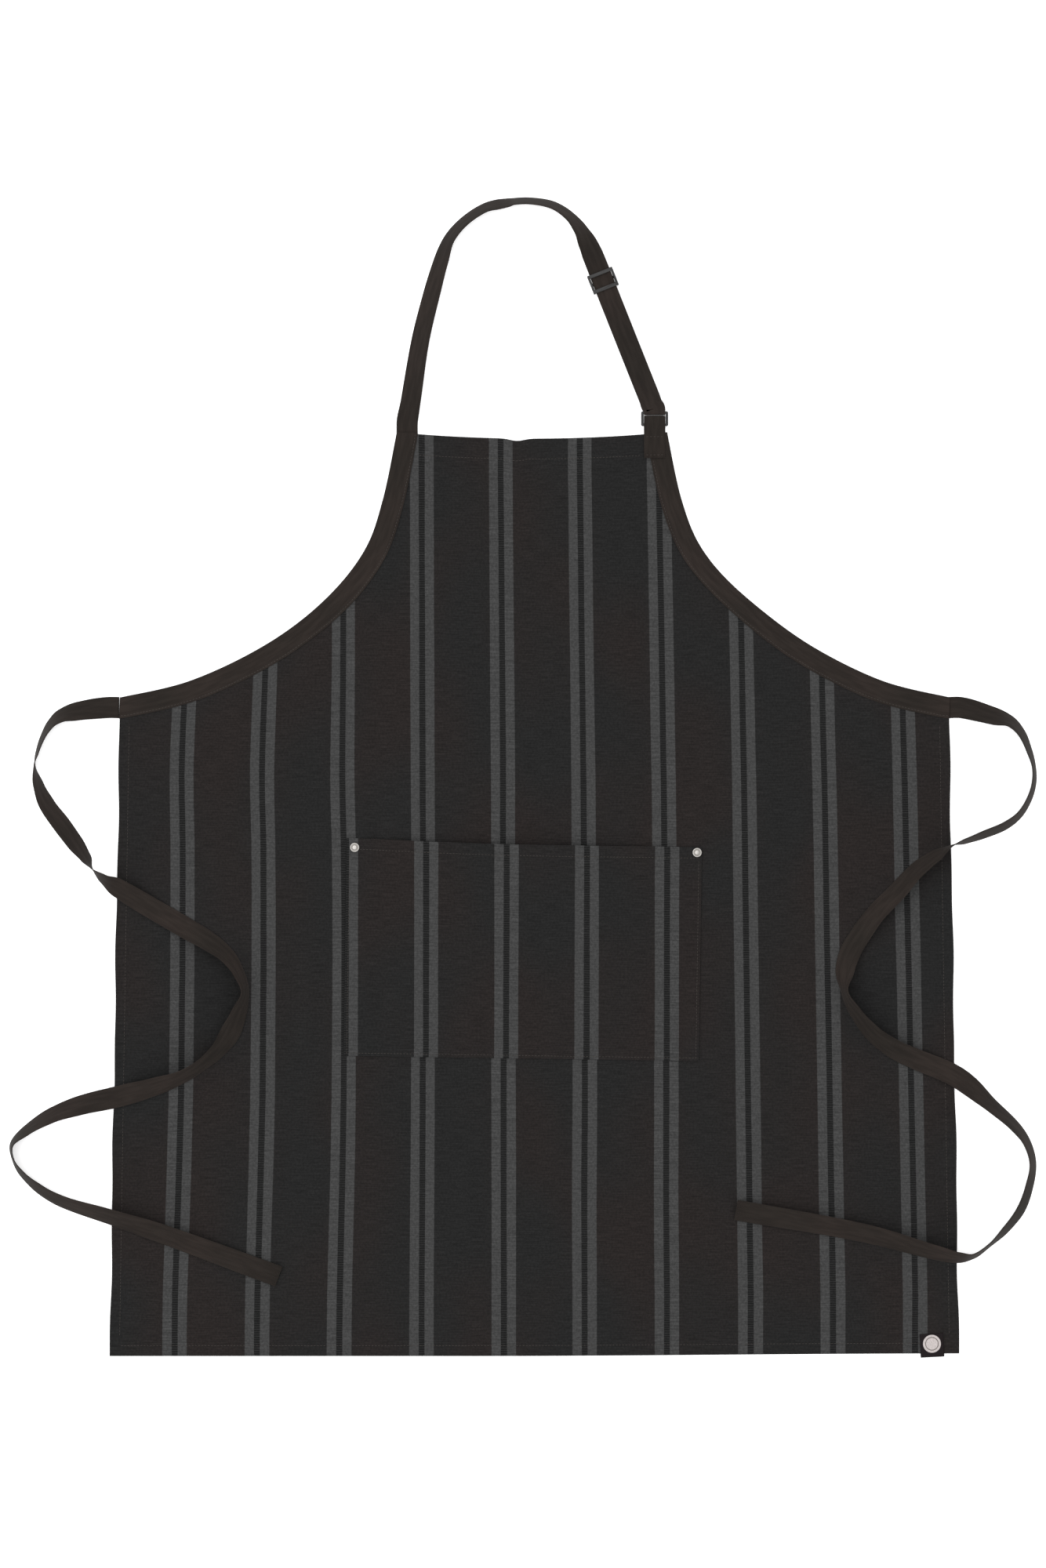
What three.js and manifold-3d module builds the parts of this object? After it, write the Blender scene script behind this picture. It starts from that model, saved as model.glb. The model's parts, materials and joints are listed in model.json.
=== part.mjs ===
// Bib apron of striped canvas, laid flat and face up on a level surface. Millimetres, +Z up.
// X runs across the apron, Y from the hem (y = 0) up to the bib, and z = 0 is the surface it lies on.
import * as THREE from "three";
import { mergeVertices } from "three/addons/utils/BufferGeometryUtils.js";
import Module from "manifold-3d";

const wasm = await Module();
wasm.setup();

// ---- Driving dimensions ----

const CLEARANCE = 0.3; // between pieces that touch

// Body panel: one cut of canvas with its edges turned under
const CLOTH = 0.6;
const BODY_LENGTH = 864.6;
const BIB_WIDTH = 254;
const WAIST_WIDTH = 776;
const HEM_WIDTH = 795;
const ARMHOLE_DEPTH = 247;
const BIB_HEM = 20;
const SIDE_HEM = 10;
const BOTTOM_HEM = 11;

// Armhole outline: shares of the step from bib to waist, and of the armhole's depth, from the top down
const ARMHOLE = [[0, 0], [0.05, 0.25], [0.12, 0.44], [0.26, 0.615], [0.48, 0.794], [0.75, 0.935], [1, 1]];
const ARMHOLE_STEPS = 30;

// Tape: bindings, neck strap and ties
const TAPE_WIDTH = 20;
const TAPE = 1.0; // thickness of the closed, stitched tape
const LEAF = 0.6; // thickness of one leaf where the tape is folded round an edge
const REST = 0.2; // height of a loose tape's underside over the surface

// Pocket
const POCKET_WIDTH = 330;
const POCKET_HEIGHT = 201;
const POCKET_HEM = 11.6;
const POCKET_EDGE = 2.9; // stitching to the pocket's edge
const POCKET_CENTRE = new THREE.Vector2(-9, 379.5);
const POCKET_TILT = THREE.MathUtils.degToRad(-0.85);
const POCKET_GAPE = 8; // how far the mouth's middle stands off the body

// Rivets at the pocket's top corners
const RIVET_HEAD = 9;
const RIVET_HEAD_HEIGHT = 1.6;
const RIVET_SHANK = 3;
const RIVET_INSET = 5.5; // rivet centre to the pocket's top edge
const RIVET_FROM_SIDE = 4.6; // rivet centre to the pocket's side edge
const RIVET_BACK = 0.6;

// Ring: a rectangular loop, with the tab on its lower bar and the strap on its upper bar
const RING_BAR = 2.4;
const RING_HEIGHT = 13.9;
const RING_SIDE_GAP = 0.3; // between the tape's edge and the ring's side bar
const RING_INSET = 4; // ring centre, inward from the middle of the right binding
const RING_RISE = 6.9; // lower edge of the ring over the top of the bib
const RING_CHAMFER = 0.6;
const TAB_LOOP = 8.2; // reach of the tab's fold past the lower bar's middle
const TAB_LAP = 23; // how far the tab runs down over the bib
const TAB_RAMP = 6; // length in which the tab climbs from the bib to the ring

// Slider: three bars between two rails
const SLIDER_LENGTH = 18;
const SLIDER_BAR = 3.3;
const SLIDER_MIDDLE_BAR = 2.4;
const SLIDER_BAR_HEIGHT = 1.6;
const SLIDER_RAIL = 2;
const SLIDER_SIDE_GAP = 0.5;

// Neck loop: across is the share of the way from the left binding to the ring, up is the share of
// LOOP_HEIGHT over the top of the bib, roll is how far the tape stands up on edge (degrees)
const LOOP_HEIGHT = 217;
const NECK_ARC = [
  { across: 0.012, up: 0.135, roll: -18 },
  { across: 0.055, up: 0.4, roll: -33 },
  { across: 0.098, up: 0.588, roll: -38 },
  { across: 0.134, up: 0.735, roll: -48 },
  { across: 0.163, up: 0.84, roll: -60 },
  { across: 0.225, up: 0.92, roll: -64 },
  { across: 0.31, up: 0.978, roll: -63 },
  { across: 0.4, up: 0.996, roll: -62 },
  { across: 0.495, up: 1, roll: -62 },
  { across: 0.588, up: 0.982, roll: -62 },
  { across: 0.66, up: 0.936, roll: -60 },
  { across: 0.71, up: 0.876, roll: -50 },
  { across: 0.742, up: 0.812, roll: -25 },
  { across: 0.758, up: 0.76, roll: -5 },
];
// The straight stretch that the slider runs on, and the bend from there to the ring
const STRAIGHT_TOP = { across: 0.77, up: 0.71 };
const STRAIGHT_END = { across: 0.96, up: 0.203 };
const STRAIGHT_SHARES = [0, 0.05, 0.35, 0.65, 0.95, 1];
const RING_APPROACH = 5; // straight stretch of the strap before the ring
const RING_BEND = 10.5; // length of the strap's last bend, before that stretch
const FOLD_STEPS = 6; // steps in a tape's fold round a bar
const SLIDER_AT = 12; // slider centre, along the straight stretch from its top

// Waist ties: x outward and y up from the underarm corner's middle of tape, and the roll (degrees)
const LEFT_TIE = [
  [0.7, 0, 0], [12, 0, 4], [40, -3.6, 28], [55, -8, 49], [64, -15.5, 62], [71.5, -28, 71], [76.5, -42, 76],
  [79, -54, 86], [75.5, -72, 112], [68, -92, 125], [56, -110, 128], [43, -127, 120], [31, -142, 104],
  [25, -151, 84], [14.5, -160.5, 60], [2, -168.5, 25], [-20, -182, 8], [-64, -207.5, -12], [-84, -219, -28],
  [-101, -232, -47], [-112, -248, -62], [-118, -267, -73], [-116.5, -285.5, -77], [-108, -304, -73],
  [-95, -320.5, -66], [-77, -334.5, -57], [-59, -345.5, -45], [-31, -355.5, -28], [4, -365, 4],
  [35, -372, 26], [63, -381.5, 46], [86.5, -395.5, 62], [100.5, -409, 76], [99, -423, 78], [91, -436, 68],
  [72.5, -452, 56], [53, -462.5, 50], [8.5, -476.5, 38], [-41, -493, 20], [-149, -533, 0],
];
const RIGHT_TIE = [
  [0.7, 0, 0], [12, 0, 4], [41, -6.2, 30], [58, -11.5, 56], [68, -23.5, 66], [75.5, -40, 73],
  [80, -56, 80], [80, -71, 77], [75, -86, 70], [66, -100.5, 68], [53, -110.5, 65], [34, -118.5, 66],
  [15.5, -125, 74], [3, -129, 90], [-13, -139, 122], [-30, -152, 135], [-48.5, -172.5, 146],
  [-69, -192.5, 144], [-86, -212, 136], [-96.5, -229, 122], [-101, -244, 112], [-98, -264, 116],
  [-87.5, -284.5, 130], [-71, -305, 144], [-50.5, -320, 158], [-30, -329.5, 170], [8, -346, 186],
  [43, -373.5, 226], [62, -391, 236], [73, -406, 248], [79.5, -426, 253], [76.5, -447, 250],
  [68.5, -470.5, 246], [55, -488, 246], [38, -503, 254], [23, -513, 250], [9.5, -514.5, 234],
  [-12, -510, 222], [-76.5, -492.5, 205], [-199, -470.5, 190],
];
const TIE_OVER_BODY = 2.8; // height of a tie's lower edge where it crosses the body
const TIE_STEP_OFF = 6; // length in which a tie comes down past the body's edge

// Hem label: folded over the hem's lower edge
const LABEL_WIDTH = 22;
const LABEL_HEIGHT = 22;
const LABEL_THICK = 0.5;
const LABEL_PROUD = 2.7; // how far its fold stands past the hem
const LABEL_FROM_SIDE = 24.6; // label centre, inward from the hem's corner
const LABEL_TILT = THREE.MathUtils.degToRad(3);

// Sewing thread, laid as a line over each row of stitches
const THREAD = 0.4;

// ---- Heights ----

const PANEL_LOW = LEAF + CLEARANCE;
const PANEL_TOP = PANEL_LOW + CLOTH;
const OVER_PANEL = PANEL_TOP + CLEARANCE;
const BINDING_TOP = OVER_PANEL + LEAF;
const OVER_BINDING = BINDING_TOP + CLEARANCE;
const POCKET_TOP = OVER_PANEL + CLOTH;
const POCKET_HEM_TOP = POCKET_TOP + CLOTH;
const RING_LOW = REST + TAPE + CLEARANCE;
const RING_TOP = RING_LOW + RING_BAR;
const OVER_RING = RING_TOP + CLEARANCE;
const MIDDLE_BAR_LOW = REST + TAPE + CLEARANCE;
const LOOP_UPPER_LAYER = MIDDLE_BAR_LOW + SLIDER_BAR_HEIGHT + CLEARANCE;
const STRAP_LOW = LOOP_UPPER_LAYER + TAPE + CLEARANCE; // front layer of the strap where it is straight
const OUTER_BAR_LOW = STRAP_LOW + TAPE + CLEARANCE;

// ---- Plan positions ----

const BIB_TOP = BODY_LENGTH;
const UNDERARM = BODY_LENGTH - ARMHOLE_DEPTH;
const BINDING_MIDDLE = (BIB_WIDTH - TAPE_WIDTH) / 2;
const RING_WIDTH = TAPE_WIDTH + 2 * (RING_SIDE_GAP + RING_BAR);
const RING_X = BINDING_MIDDLE - RING_INSET;
const RING_Y = BIB_TOP + RING_RISE + RING_BAR / 2; // middle of the lower bar, where the neck loop folds
const RING_UPPER_EDGE = BIB_TOP + RING_RISE + RING_HEIGHT;
const FOLD_Y = RING_Y;

// ---- Materials ----

const material = (color, roughness, metalness = 0) =>
  new THREE.MeshStandardMaterial({ color, roughness, metalness });
const CANVAS = material(0x2b2929, 0.95);
const TAPE_CLOTH = material(0x322d2b, 0.95);
const PLASTIC = material(0x1d1c1c, 0.5);
const NICKEL = material(0xc8c4c0, 0.3, 1);
const LABEL_CLOTH = material(0x232120, 0.9);
const THREAD_COTTON = material(0x3a3736, 0.9);

// ---- Solids ----

/** Turns a closed three.js geometry into a solid for joining and cutting. */
function solidOf(geometry) {
  const bare = geometry.clone();
  bare.deleteAttribute("normal");
  bare.deleteAttribute("uv");
  const merged = mergeVertices(bare, 1e-4);
  return new wasm.Manifold(new wasm.Mesh({
    numProp: 3,
    vertProperties: merged.attributes.position.array,
    triVerts: new Uint32Array(merged.index.array),
  }));
}

function geometryOf(solid) {
  const mesh = solid.getMesh();
  const geometry = new THREE.BufferGeometry();
  geometry.setAttribute("position", new THREE.BufferAttribute(mesh.vertProperties, 3));
  geometry.setIndex(new THREE.BufferAttribute(mesh.triVerts, 1));
  geometry.computeVertexNormals();
  return geometry;
}

function joined(...geometries) {
  return geometryOf(geometries.map(solidOf).reduce((all, next) => all.add(next)));
}

function cut(geometry, ...tools) {
  return geometryOf(tools.map(solidOf).reduce((left, tool) => left.subtract(tool), solidOf(geometry)));
}

/** A flat plate with the given outline between two heights. */
function plate(outline, low, high) {
  const geometry = new THREE.ExtrudeGeometry(new THREE.Shape(outline), { depth: high - low, bevelEnabled: false });
  return geometry.translate(0, 0, low);
}

/** A profile drawn in (y, z), stretched along X over a width centred on x. */
function profileAlongX(profile, x, width) {
  const geometry = new THREE.ExtrudeGeometry(profile, { depth: width, bevelEnabled: false, curveSegments: 8 });
  const toWorld = new THREE.Matrix4().makeBasis(
    new THREE.Vector3(0, 1, 0), new THREE.Vector3(0, 0, 1), new THREE.Vector3(1, 0, 0));
  return geometry.applyMatrix4(toWorld).translate(x - width / 2, 0, 0);
}

function cylinder(centre, radius, low, high) {
  const geometry = new THREE.CylinderGeometry(radius, radius, high - low, 24);
  return geometry.rotateX(Math.PI / 2).translate(centre.x, centre.y, (low + high) / 2);
}

/** A box with one corner at (x, y, z) and the given size. */
function block(x, y, z, width, length, height) {
  return new THREE.BoxGeometry(width, length, height).translate(x + width / 2, y + length / 2, z + height / 2);
}

/**
 * Cross-sections of a flat tape along a route of { x, y, low, roll }: low is the height of its lower edge,
 * and roll is the angle by which it stands up on edge, in degrees.
 */
function tapeSections(route, stepsPerSpan = 2) {
  const path = new THREE.CatmullRomCurve3(route.map((p) => new THREE.Vector3(p.x, p.y, 0)));
  const heights = route.map((p) => new THREE.Vector3(p.low, p.roll, 0));
  const lay = new THREE.CatmullRomCurve3(heights, false, "catmullrom", 0.2);
  const up = new THREE.Vector3(0, 0, 1);
  const steps = stepsPerSpan * (route.length - 1);
  const sections = [];
  for (let i = 0; i <= steps; i++) {
    const centre = path.getPoint(i / steps);
    const left = up.clone().cross(path.getTangent(i / steps)).normalize();
    const { x: low, y: degrees } = lay.getPoint(i / steps);
    const roll = THREE.MathUtils.degToRad(degrees);
    const across = left.clone().multiplyScalar(Math.cos(roll)).addScaledVector(up, Math.sin(roll));
    const face = up.clone().multiplyScalar(Math.cos(roll)).addScaledVector(left, -Math.sin(roll));
    centre.z = low + (TAPE_WIDTH * Math.abs(Math.sin(roll)) + TAPE * Math.abs(Math.cos(roll))) / 2;
    sections.push({ centre, across, face });
  }
  return sections;
}

/**
 * A closed ribbon of tape through a list of cross-sections. Both wide faces are split along the same diagonal,
 * so they stay a tape's thickness apart where the tape twists.
 */
function ribbon(sections) {
  const corners = [[-1, -1], [1, -1], [1, 1], [-1, 1]];
  const points = sections.flatMap(({ centre, across, face }) => corners.map(([u, v]) => centre.clone()
    .addScaledVector(across, u * TAPE_WIDTH / 2)
    .addScaledVector(face, v * TAPE / 2)));
  const index = [0, 3, 2, 0, 2, 1];
  for (let first = 0; first < points.length - 4; first += 4) {
    for (let k = 0; k < 4; k++) {
      const a = first + k;
      const b = first + (k + 1) % 4;
      index.push(...(k === 0 ? [a, b, b + 4, a, b + 4, a + 4] : [a, b, a + 4, b, b + 4, a + 4]));
    }
  }
  const last = points.length - 4;
  index.push(last, last + 1, last + 2, last, last + 2, last + 3);
  const geometry = new THREE.BufferGeometry().setFromPoints(points);
  geometry.setIndex(index);
  return geometry;
}
const tape = (route) => ribbon(tapeSections(route));

const part = new THREE.Group();

function add(name, geometry, surface, parent = part) {
  const mesh = new THREE.Mesh(geometry, surface);
  mesh.name = name;
  parent.add(mesh);
  return mesh;
}

// ---- Outlines ----

const mirrored = (points) => points.map((p) => new THREE.Vector2(-p.x, p.y));

/** The right armhole's edge from the bib down to the underarm, moved into the cloth by inset. */
function armhole(inset) {
  const reach = (WAIST_WIDTH - BIB_WIDTH) / 2;
  const curve = new THREE.SplineCurve(ARMHOLE.map(([across, down]) =>
    new THREE.Vector2(BIB_WIDTH / 2 + across * reach, BIB_TOP - down * ARMHOLE_DEPTH)));
  const points = [];
  for (let i = 0; i <= ARMHOLE_STEPS; i++) {
    const tangent = curve.getTangent(i / ARMHOLE_STEPS);
    const point = curve.getPoint(i / ARMHOLE_STEPS);
    points.push(point.add(new THREE.Vector2(tangent.y, -tangent.x).multiplyScalar(inset)));
  }
  points[0].y = BIB_TOP;
  points[ARMHOLE_STEPS].x = WAIST_WIDTH / 2;
  return points;
}

/** The band of cloth between the armhole's edge and a line further in. */
const armholeBand = (outer, inner) => [...armhole(outer), ...armhole(inner).reverse()];

// ---- Body panel ----

const bindingInner = armhole(TAPE_WIDTH);
const innerAtBib = bindingInner[0].x;
const innerAtSide = bindingInner[ARMHOLE_STEPS].y;
const rivets = [-1, 1].map((side) => new THREE.Vector2(
  side * (POCKET_WIDTH / 2 - RIVET_FROM_SIDE), POCKET_HEIGHT / 2 - RIVET_INSET)
  .rotateAround(new THREE.Vector2(), POCKET_TILT).add(POCKET_CENTRE));

/** Half the body's width at a height y below the underarm. */
const halfWidth = (y) => THREE.MathUtils.lerp(HEM_WIDTH, WAIST_WIDTH, y / UNDERARM) / 2;

function bodyPanel() {
  const edge = armhole(LEAF + CLEARANCE);
  const outline = [...edge, new THREE.Vector2(HEM_WIDTH / 2, 0)];
  const cloth = plate([...outline, ...mirrored(outline).reverse()], PANEL_LOW, PANEL_TOP);
  const bibHalf = BINDING_MIDDLE - TAPE_WIDTH / 2 - CLEARANCE;
  const bibHem = block(-bibHalf, BIB_TOP - BIB_HEM, 0, 2 * bibHalf, BIB_HEM, PANEL_TOP);
  const bottomHem = plate([
    new THREE.Vector2(-HEM_WIDTH / 2, 0), new THREE.Vector2(HEM_WIDTH / 2, 0),
    new THREE.Vector2(halfWidth(BOTTOM_HEM), BOTTOM_HEM),
    new THREE.Vector2(-halfWidth(BOTTOM_HEM), BOTTOM_HEM),
  ], 0, PANEL_TOP);
  const hemTop = innerAtSide - CLEARANCE;
  const sideHem = [
    new THREE.Vector2(halfWidth(0) - SIDE_HEM, 0), new THREE.Vector2(halfWidth(0), 0),
    new THREE.Vector2(halfWidth(hemTop), hemTop), new THREE.Vector2(halfWidth(hemTop) - SIDE_HEM, hemTop),
  ];
  const whole = joined(cloth, bibHem, bottomHem,
    plate(sideHem, 0, PANEL_TOP), plate(mirrored(sideHem), 0, PANEL_TOP));
  const holes = rivets.map((at) => cylinder(at, RIVET_SHANK / 2 + CLEARANCE, -1, PANEL_TOP + 1));
  return cut(whole, ...holes);
}
add("body_panel", bodyPanel(), CANVAS);

// ---- Armhole bindings: a tape folded round the edge, its two leaves joined by the fold ----

function binding() {
  return joined(
    plate(armholeBand(0, TAPE_WIDTH), 0, LEAF),
    plate(armholeBand(0, TAPE_WIDTH), OVER_PANEL, BINDING_TOP),
    plate(armholeBand(0, LEAF), 0, BINDING_TOP));
}

/** The closed tape that runs on from the left binding up to where the neck loop folds. */
function strapRoot() {
  const end = FOLD_Y - CLEARANCE;
  const profile = new THREE.Shape([
    new THREE.Vector2(BIB_TOP, 0), new THREE.Vector2(BIB_TOP + 3, REST), new THREE.Vector2(end, REST),
    new THREE.Vector2(end, REST + TAPE), new THREE.Vector2(BIB_TOP + 3, REST + TAPE),
    new THREE.Vector2(BIB_TOP, BINDING_TOP), new THREE.Vector2(BIB_TOP, OVER_PANEL),
    new THREE.Vector2(BIB_TOP + CLEARANCE, OVER_PANEL), new THREE.Vector2(BIB_TOP + CLEARANCE, LEAF),
    new THREE.Vector2(BIB_TOP, LEAF),
  ]);
  return profileAlongX(profile, -BINDING_MIDDLE, TAPE_WIDTH);
}
add("right_armhole_binding", binding(), TAPE_CLOTH);
const leftSide = new THREE.Matrix4().makeRotationY(Math.PI);
leftSide.setPosition(0, 0, BINDING_TOP);
add("left_armhole_binding", joined(binding().applyMatrix4(leftSide), strapRoot()), TAPE_CLOTH);

// ---- Pocket ----

const pocket = new THREE.Group();
pocket.position.set(POCKET_CENTRE.x, POCKET_CENTRE.y, 0);
pocket.rotation.z = POCKET_TILT;
part.add(pocket);

/** How far the pocket stands off the body at a point, in the pocket's own plan. */
function gape(x, y) {
  const free = POCKET_WIDTH - 2 * (RIVET_FROM_SIDE + RIVET_HEAD); // between the two rivets
  const across = Math.cos(Math.PI * THREE.MathUtils.clamp(x / free, -0.5, 0.5));
  const down = THREE.MathUtils.clamp(0.5 - y / POCKET_HEIGHT, 0, 1);
  return POCKET_GAPE * across * (1 - down) ** 2;
}

/** A sheet that follows the pocket's rise, over a rectangle of the pocket's plan. */
function pocketSheet(x0, x1, y0, y1, low, high, columns, rows) {
  const geometry = new THREE.BoxGeometry(x1 - x0, y1 - y0, high - low, columns, rows, 1);
  geometry.translate((x0 + x1) / 2, (y0 + y1) / 2, (low + high) / 2);
  const position = geometry.attributes.position;
  for (let i = 0; i < position.count; i++) {
    position.setZ(i, position.getZ(i) + gape(position.getX(i), position.getY(i)));
  }
  return geometry;
}

const POCKET_X = POCKET_WIDTH / 2;
const POCKET_Y = POCKET_HEIGHT / 2;
const POCKET_COLUMNS = 24;

function pocketPanel() {
  const cloth = pocketSheet(-POCKET_X, POCKET_X, -POCKET_Y, POCKET_Y, OVER_PANEL, POCKET_TOP, POCKET_COLUMNS, 12);
  const hem = pocketSheet(-POCKET_X, POCKET_X, POCKET_Y - POCKET_HEM, POCKET_Y,
    OVER_PANEL, POCKET_HEM_TOP, POCKET_COLUMNS, 1);
  const holes = [-1, 1].map((side) => cylinder(
    new THREE.Vector2(side * (POCKET_X - RIVET_FROM_SIDE), POCKET_Y - RIVET_INSET),
    RIVET_SHANK / 2 + CLEARANCE, 0, POCKET_HEM_TOP + 2));
  return cut(joined(cloth, hem), ...holes);
}
add("pocket_panel", pocketPanel(), CANVAS, pocket);

// Pocket stitching: one row down both sides and along the bottom, one under the hem
function threadSheet(x0, x1, y0, y1, over, columns, rows) {
  return pocketSheet(x0, x1, y0, y1, over + CLEARANCE, over + CLEARANCE + THREAD, columns, rows);
}
const ROW_X = POCKET_X - POCKET_EDGE;
const ROW_BOTTOM = POCKET_EDGE - POCKET_Y;
const ROW_TOP = POCKET_Y - POCKET_HEM - 2 * THREAD;
add("pocket_stitching", joined(
  threadSheet(-ROW_X, -ROW_X + THREAD, ROW_BOTTOM, ROW_TOP, POCKET_TOP, 1, 12),
  threadSheet(ROW_X - THREAD, ROW_X, ROW_BOTTOM, ROW_TOP, POCKET_TOP, 1, 12),
  threadSheet(-ROW_X, ROW_X, ROW_BOTTOM, ROW_BOTTOM + THREAD, POCKET_TOP, POCKET_COLUMNS, 1),
), THREAD_COTTON, pocket);
const HEM_ROW = POCKET_Y - POCKET_HEM + THREAD;
add("pocket_hem_stitching", threadSheet(-ROW_X, ROW_X, HEM_ROW, HEM_ROW + THREAD, POCKET_HEM_TOP,
  POCKET_COLUMNS, 1), THREAD_COTTON, pocket);

// ---- Rivets ----

/** A solid turned about the Z axis through a point, from a profile of [radius, z]. */
function turned(profile, at) {
  const geometry = new THREE.LatheGeometry(profile.map(([r, z]) => new THREE.Vector2(r, z)), 24);
  return geometry.rotateX(Math.PI / 2).translate(at.x, at.y, 0);
}

rivets.forEach((at, i) => {
  const side = ["left", "right"][i];
  const low = POCKET_HEM_TOP + CLEARANCE;
  const head = RIVET_HEAD / 2;
  add(side + "_rivet_cap", turned([
    [0, low], [head - 0.3, low], [head, low + 0.4], [head - 0.3, low + 0.9],
    [head * 0.8, low + 1.2], [head * 0.55, low + RIVET_HEAD_HEIGHT - 0.1], [0, low + RIVET_HEAD_HEIGHT],
  ], at), NICKEL);
  add(side + "_rivet_post", turned([
    [0, 0], [head - 0.3, 0], [head, 0.2], [head, RIVET_BACK], [RIVET_SHANK / 2, RIVET_BACK],
    [RIVET_SHANK / 2, POCKET_HEM_TOP], [0, POCKET_HEM_TOP],
  ], at), NICKEL);
});

// ---- Tab and ring ----

function ringTab() {
  const fold = FOLD_Y + TAB_LOOP;
  const outer = (OVER_RING + TAPE - REST) / 2;
  const inner = outer - TAPE;
  const middle = (OVER_RING + TAPE + REST) / 2;
  const lapEnd = BIB_TOP - TAB_LAP;
  const rampTop = BIB_TOP + TAB_RAMP - 1;
  const profile = new THREE.Shape();
  profile.moveTo(BIB_TOP + CLEARANCE, REST);
  profile.lineTo(fold - outer, REST);
  profile.absarc(fold - outer, middle, outer, -Math.PI / 2, Math.PI / 2, false);
  profile.lineTo(rampTop, OVER_RING + TAPE);
  profile.lineTo(BIB_TOP - 1, OVER_BINDING + TAPE);
  profile.lineTo(lapEnd, OVER_BINDING + TAPE);
  profile.lineTo(lapEnd, OVER_BINDING);
  profile.lineTo(BIB_TOP - 1 + CLEARANCE, OVER_BINDING);
  profile.lineTo(rampTop + CLEARANCE, OVER_RING);
  profile.lineTo(fold - outer, OVER_RING);
  profile.absarc(fold - outer, middle, inner, Math.PI / 2, -Math.PI / 2, true);
  profile.lineTo(BIB_TOP + CLEARANCE, REST + TAPE);
  return profileAlongX(profile, RING_X, TAPE_WIDTH);
}
add("ring_tab", ringTab(), TAPE_CLOTH);

function ring() {
  const side = RING_WIDTH / 2 - RING_CHAMFER;
  const low = BIB_TOP + RING_RISE + RING_CHAMFER;
  const high = RING_UPPER_EDGE - RING_CHAMFER;
  const corner = RING_CHAMFER;
  const shape = new THREE.Shape([
    new THREE.Vector2(corner - side, low), new THREE.Vector2(side - corner, low),
    new THREE.Vector2(side, low + corner), new THREE.Vector2(side, high - corner),
    new THREE.Vector2(side - corner, high), new THREE.Vector2(corner - side, high),
    new THREE.Vector2(-side, high - corner), new THREE.Vector2(-side, low + corner),
  ]);
  const wall = RING_BAR - 2 * RING_CHAMFER;
  const x = side - wall;
  shape.holes.push(new THREE.Path([
    new THREE.Vector2(-x, low + wall), new THREE.Vector2(-x, high - wall),
    new THREE.Vector2(x, high - wall), new THREE.Vector2(x, low + wall),
  ]));
  const geometry = new THREE.ExtrudeGeometry(shape, {
    depth: RING_BAR - 2 * RING_CHAMFER, bevelThickness: RING_CHAMFER, bevelSize: RING_CHAMFER, bevelSegments: 1,
  });
  return geometry.translate(RING_X, 0, RING_LOW + RING_CHAMFER);
}
add("ring", ring(), PLASTIC);

// ---- Neck strap ----

/** A point of the neck loop from its shares across and up. */
const loopPoint = ({ across, up }) => new THREE.Vector2(
  THREE.MathUtils.lerp(-BINDING_MIDDLE, RING_X, across), BIB_TOP + up * LOOP_HEIGHT);
const straightTop = loopPoint(STRAIGHT_TOP);
const straightEnd = loopPoint(STRAIGHT_END);
const WRAP_REACH = RING_APPROACH + RING_BAR + CLEARANCE + TAPE; // length of the strap's wrap round the upper bar

/** The strap's line from share t of the straight stretch on to the ring, at a given height. */
function toRing(shares, low, lowAtRing) {
  const route = shares.map((t) => ({ ...straightTop.clone().lerp(straightEnd, t), low, roll: 0 }));
  const end = RING_UPPER_EDGE + RING_APPROACH;
  const x = THREE.MathUtils.lerp(straightEnd.x, RING_X, 0.78);
  route.push({ x, y: end + RING_BEND, low: THREE.MathUtils.lerp(low, lowAtRing, 0.7), roll: 0 });
  route.push({ x: RING_X, y: end + RING_BEND / 3, low: lowAtRing, roll: 0 });
  route.push({ x: RING_X, y: end + 1, low: lowAtRing, roll: 0 });
  route.push({ x: RING_X, y: end - 1, low: lowAtRing, roll: 0 });
  return route;
}

/** Cross-sections of the strap's fold round the ring's upper bar, from its front layer to its back layer. */
function ringFold() {
  const end = RING_UPPER_EDGE + RING_APPROACH;
  const radius = (OVER_RING - REST) / 2; // of the tape's middle
  const middle = new THREE.Vector3(RING_X, end - WRAP_REACH + radius + TAPE / 2, REST + TAPE / 2 + radius);
  const across = new THREE.Vector3(1, 0, 0);
  const sections = [];
  for (let i = 0; i <= FOLD_STEPS; i++) {
    const turn = Math.PI * (0.5 + i / FOLD_STEPS);
    const face = new THREE.Vector3(0, Math.cos(turn), Math.sin(turn));
    sections.push({ centre: middle.clone().addScaledVector(face, radius), across, face });
  }
  const back = new THREE.Vector3(0, 0, -1);
  sections.push({ centre: new THREE.Vector3(RING_X, end, REST + TAPE / 2), across, face: back });
  return sections;
}

function neckStrap() {
  const arc = NECK_ARC.map((p) => ({ ...loopPoint(p), low: REST + Math.max(0, p.across - 0.5) * 17, roll: p.roll }));
  arc[arc.length - 1].low = STRAP_LOW;
  const root = [0, 4].map((y) => ({ x: -BINDING_MIDDLE, y: FOLD_Y + y, low: REST, roll: 0 }));
  const route = [...root, ...arc, ...toRing(STRAIGHT_SHARES, STRAP_LOW, OVER_RING)];
  return ribbon([...tapeSections(route), ...ringFold()]);
}
add("neck_strap", neckStrap(), TAPE_CLOTH);

// ---- Slider, in its own frame: -Y points along the strap to the ring ----

const slider = new THREE.Group();
const straight = straightEnd.clone().sub(straightTop);
const sliderCentre = straightTop.clone().addScaledVector(straight.clone().normalize(), SLIDER_AT);
slider.position.set(sliderCentre.x, sliderCentre.y, 0);
slider.rotation.z = Math.atan2(straight.x, -straight.y);
part.add(slider);

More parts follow.
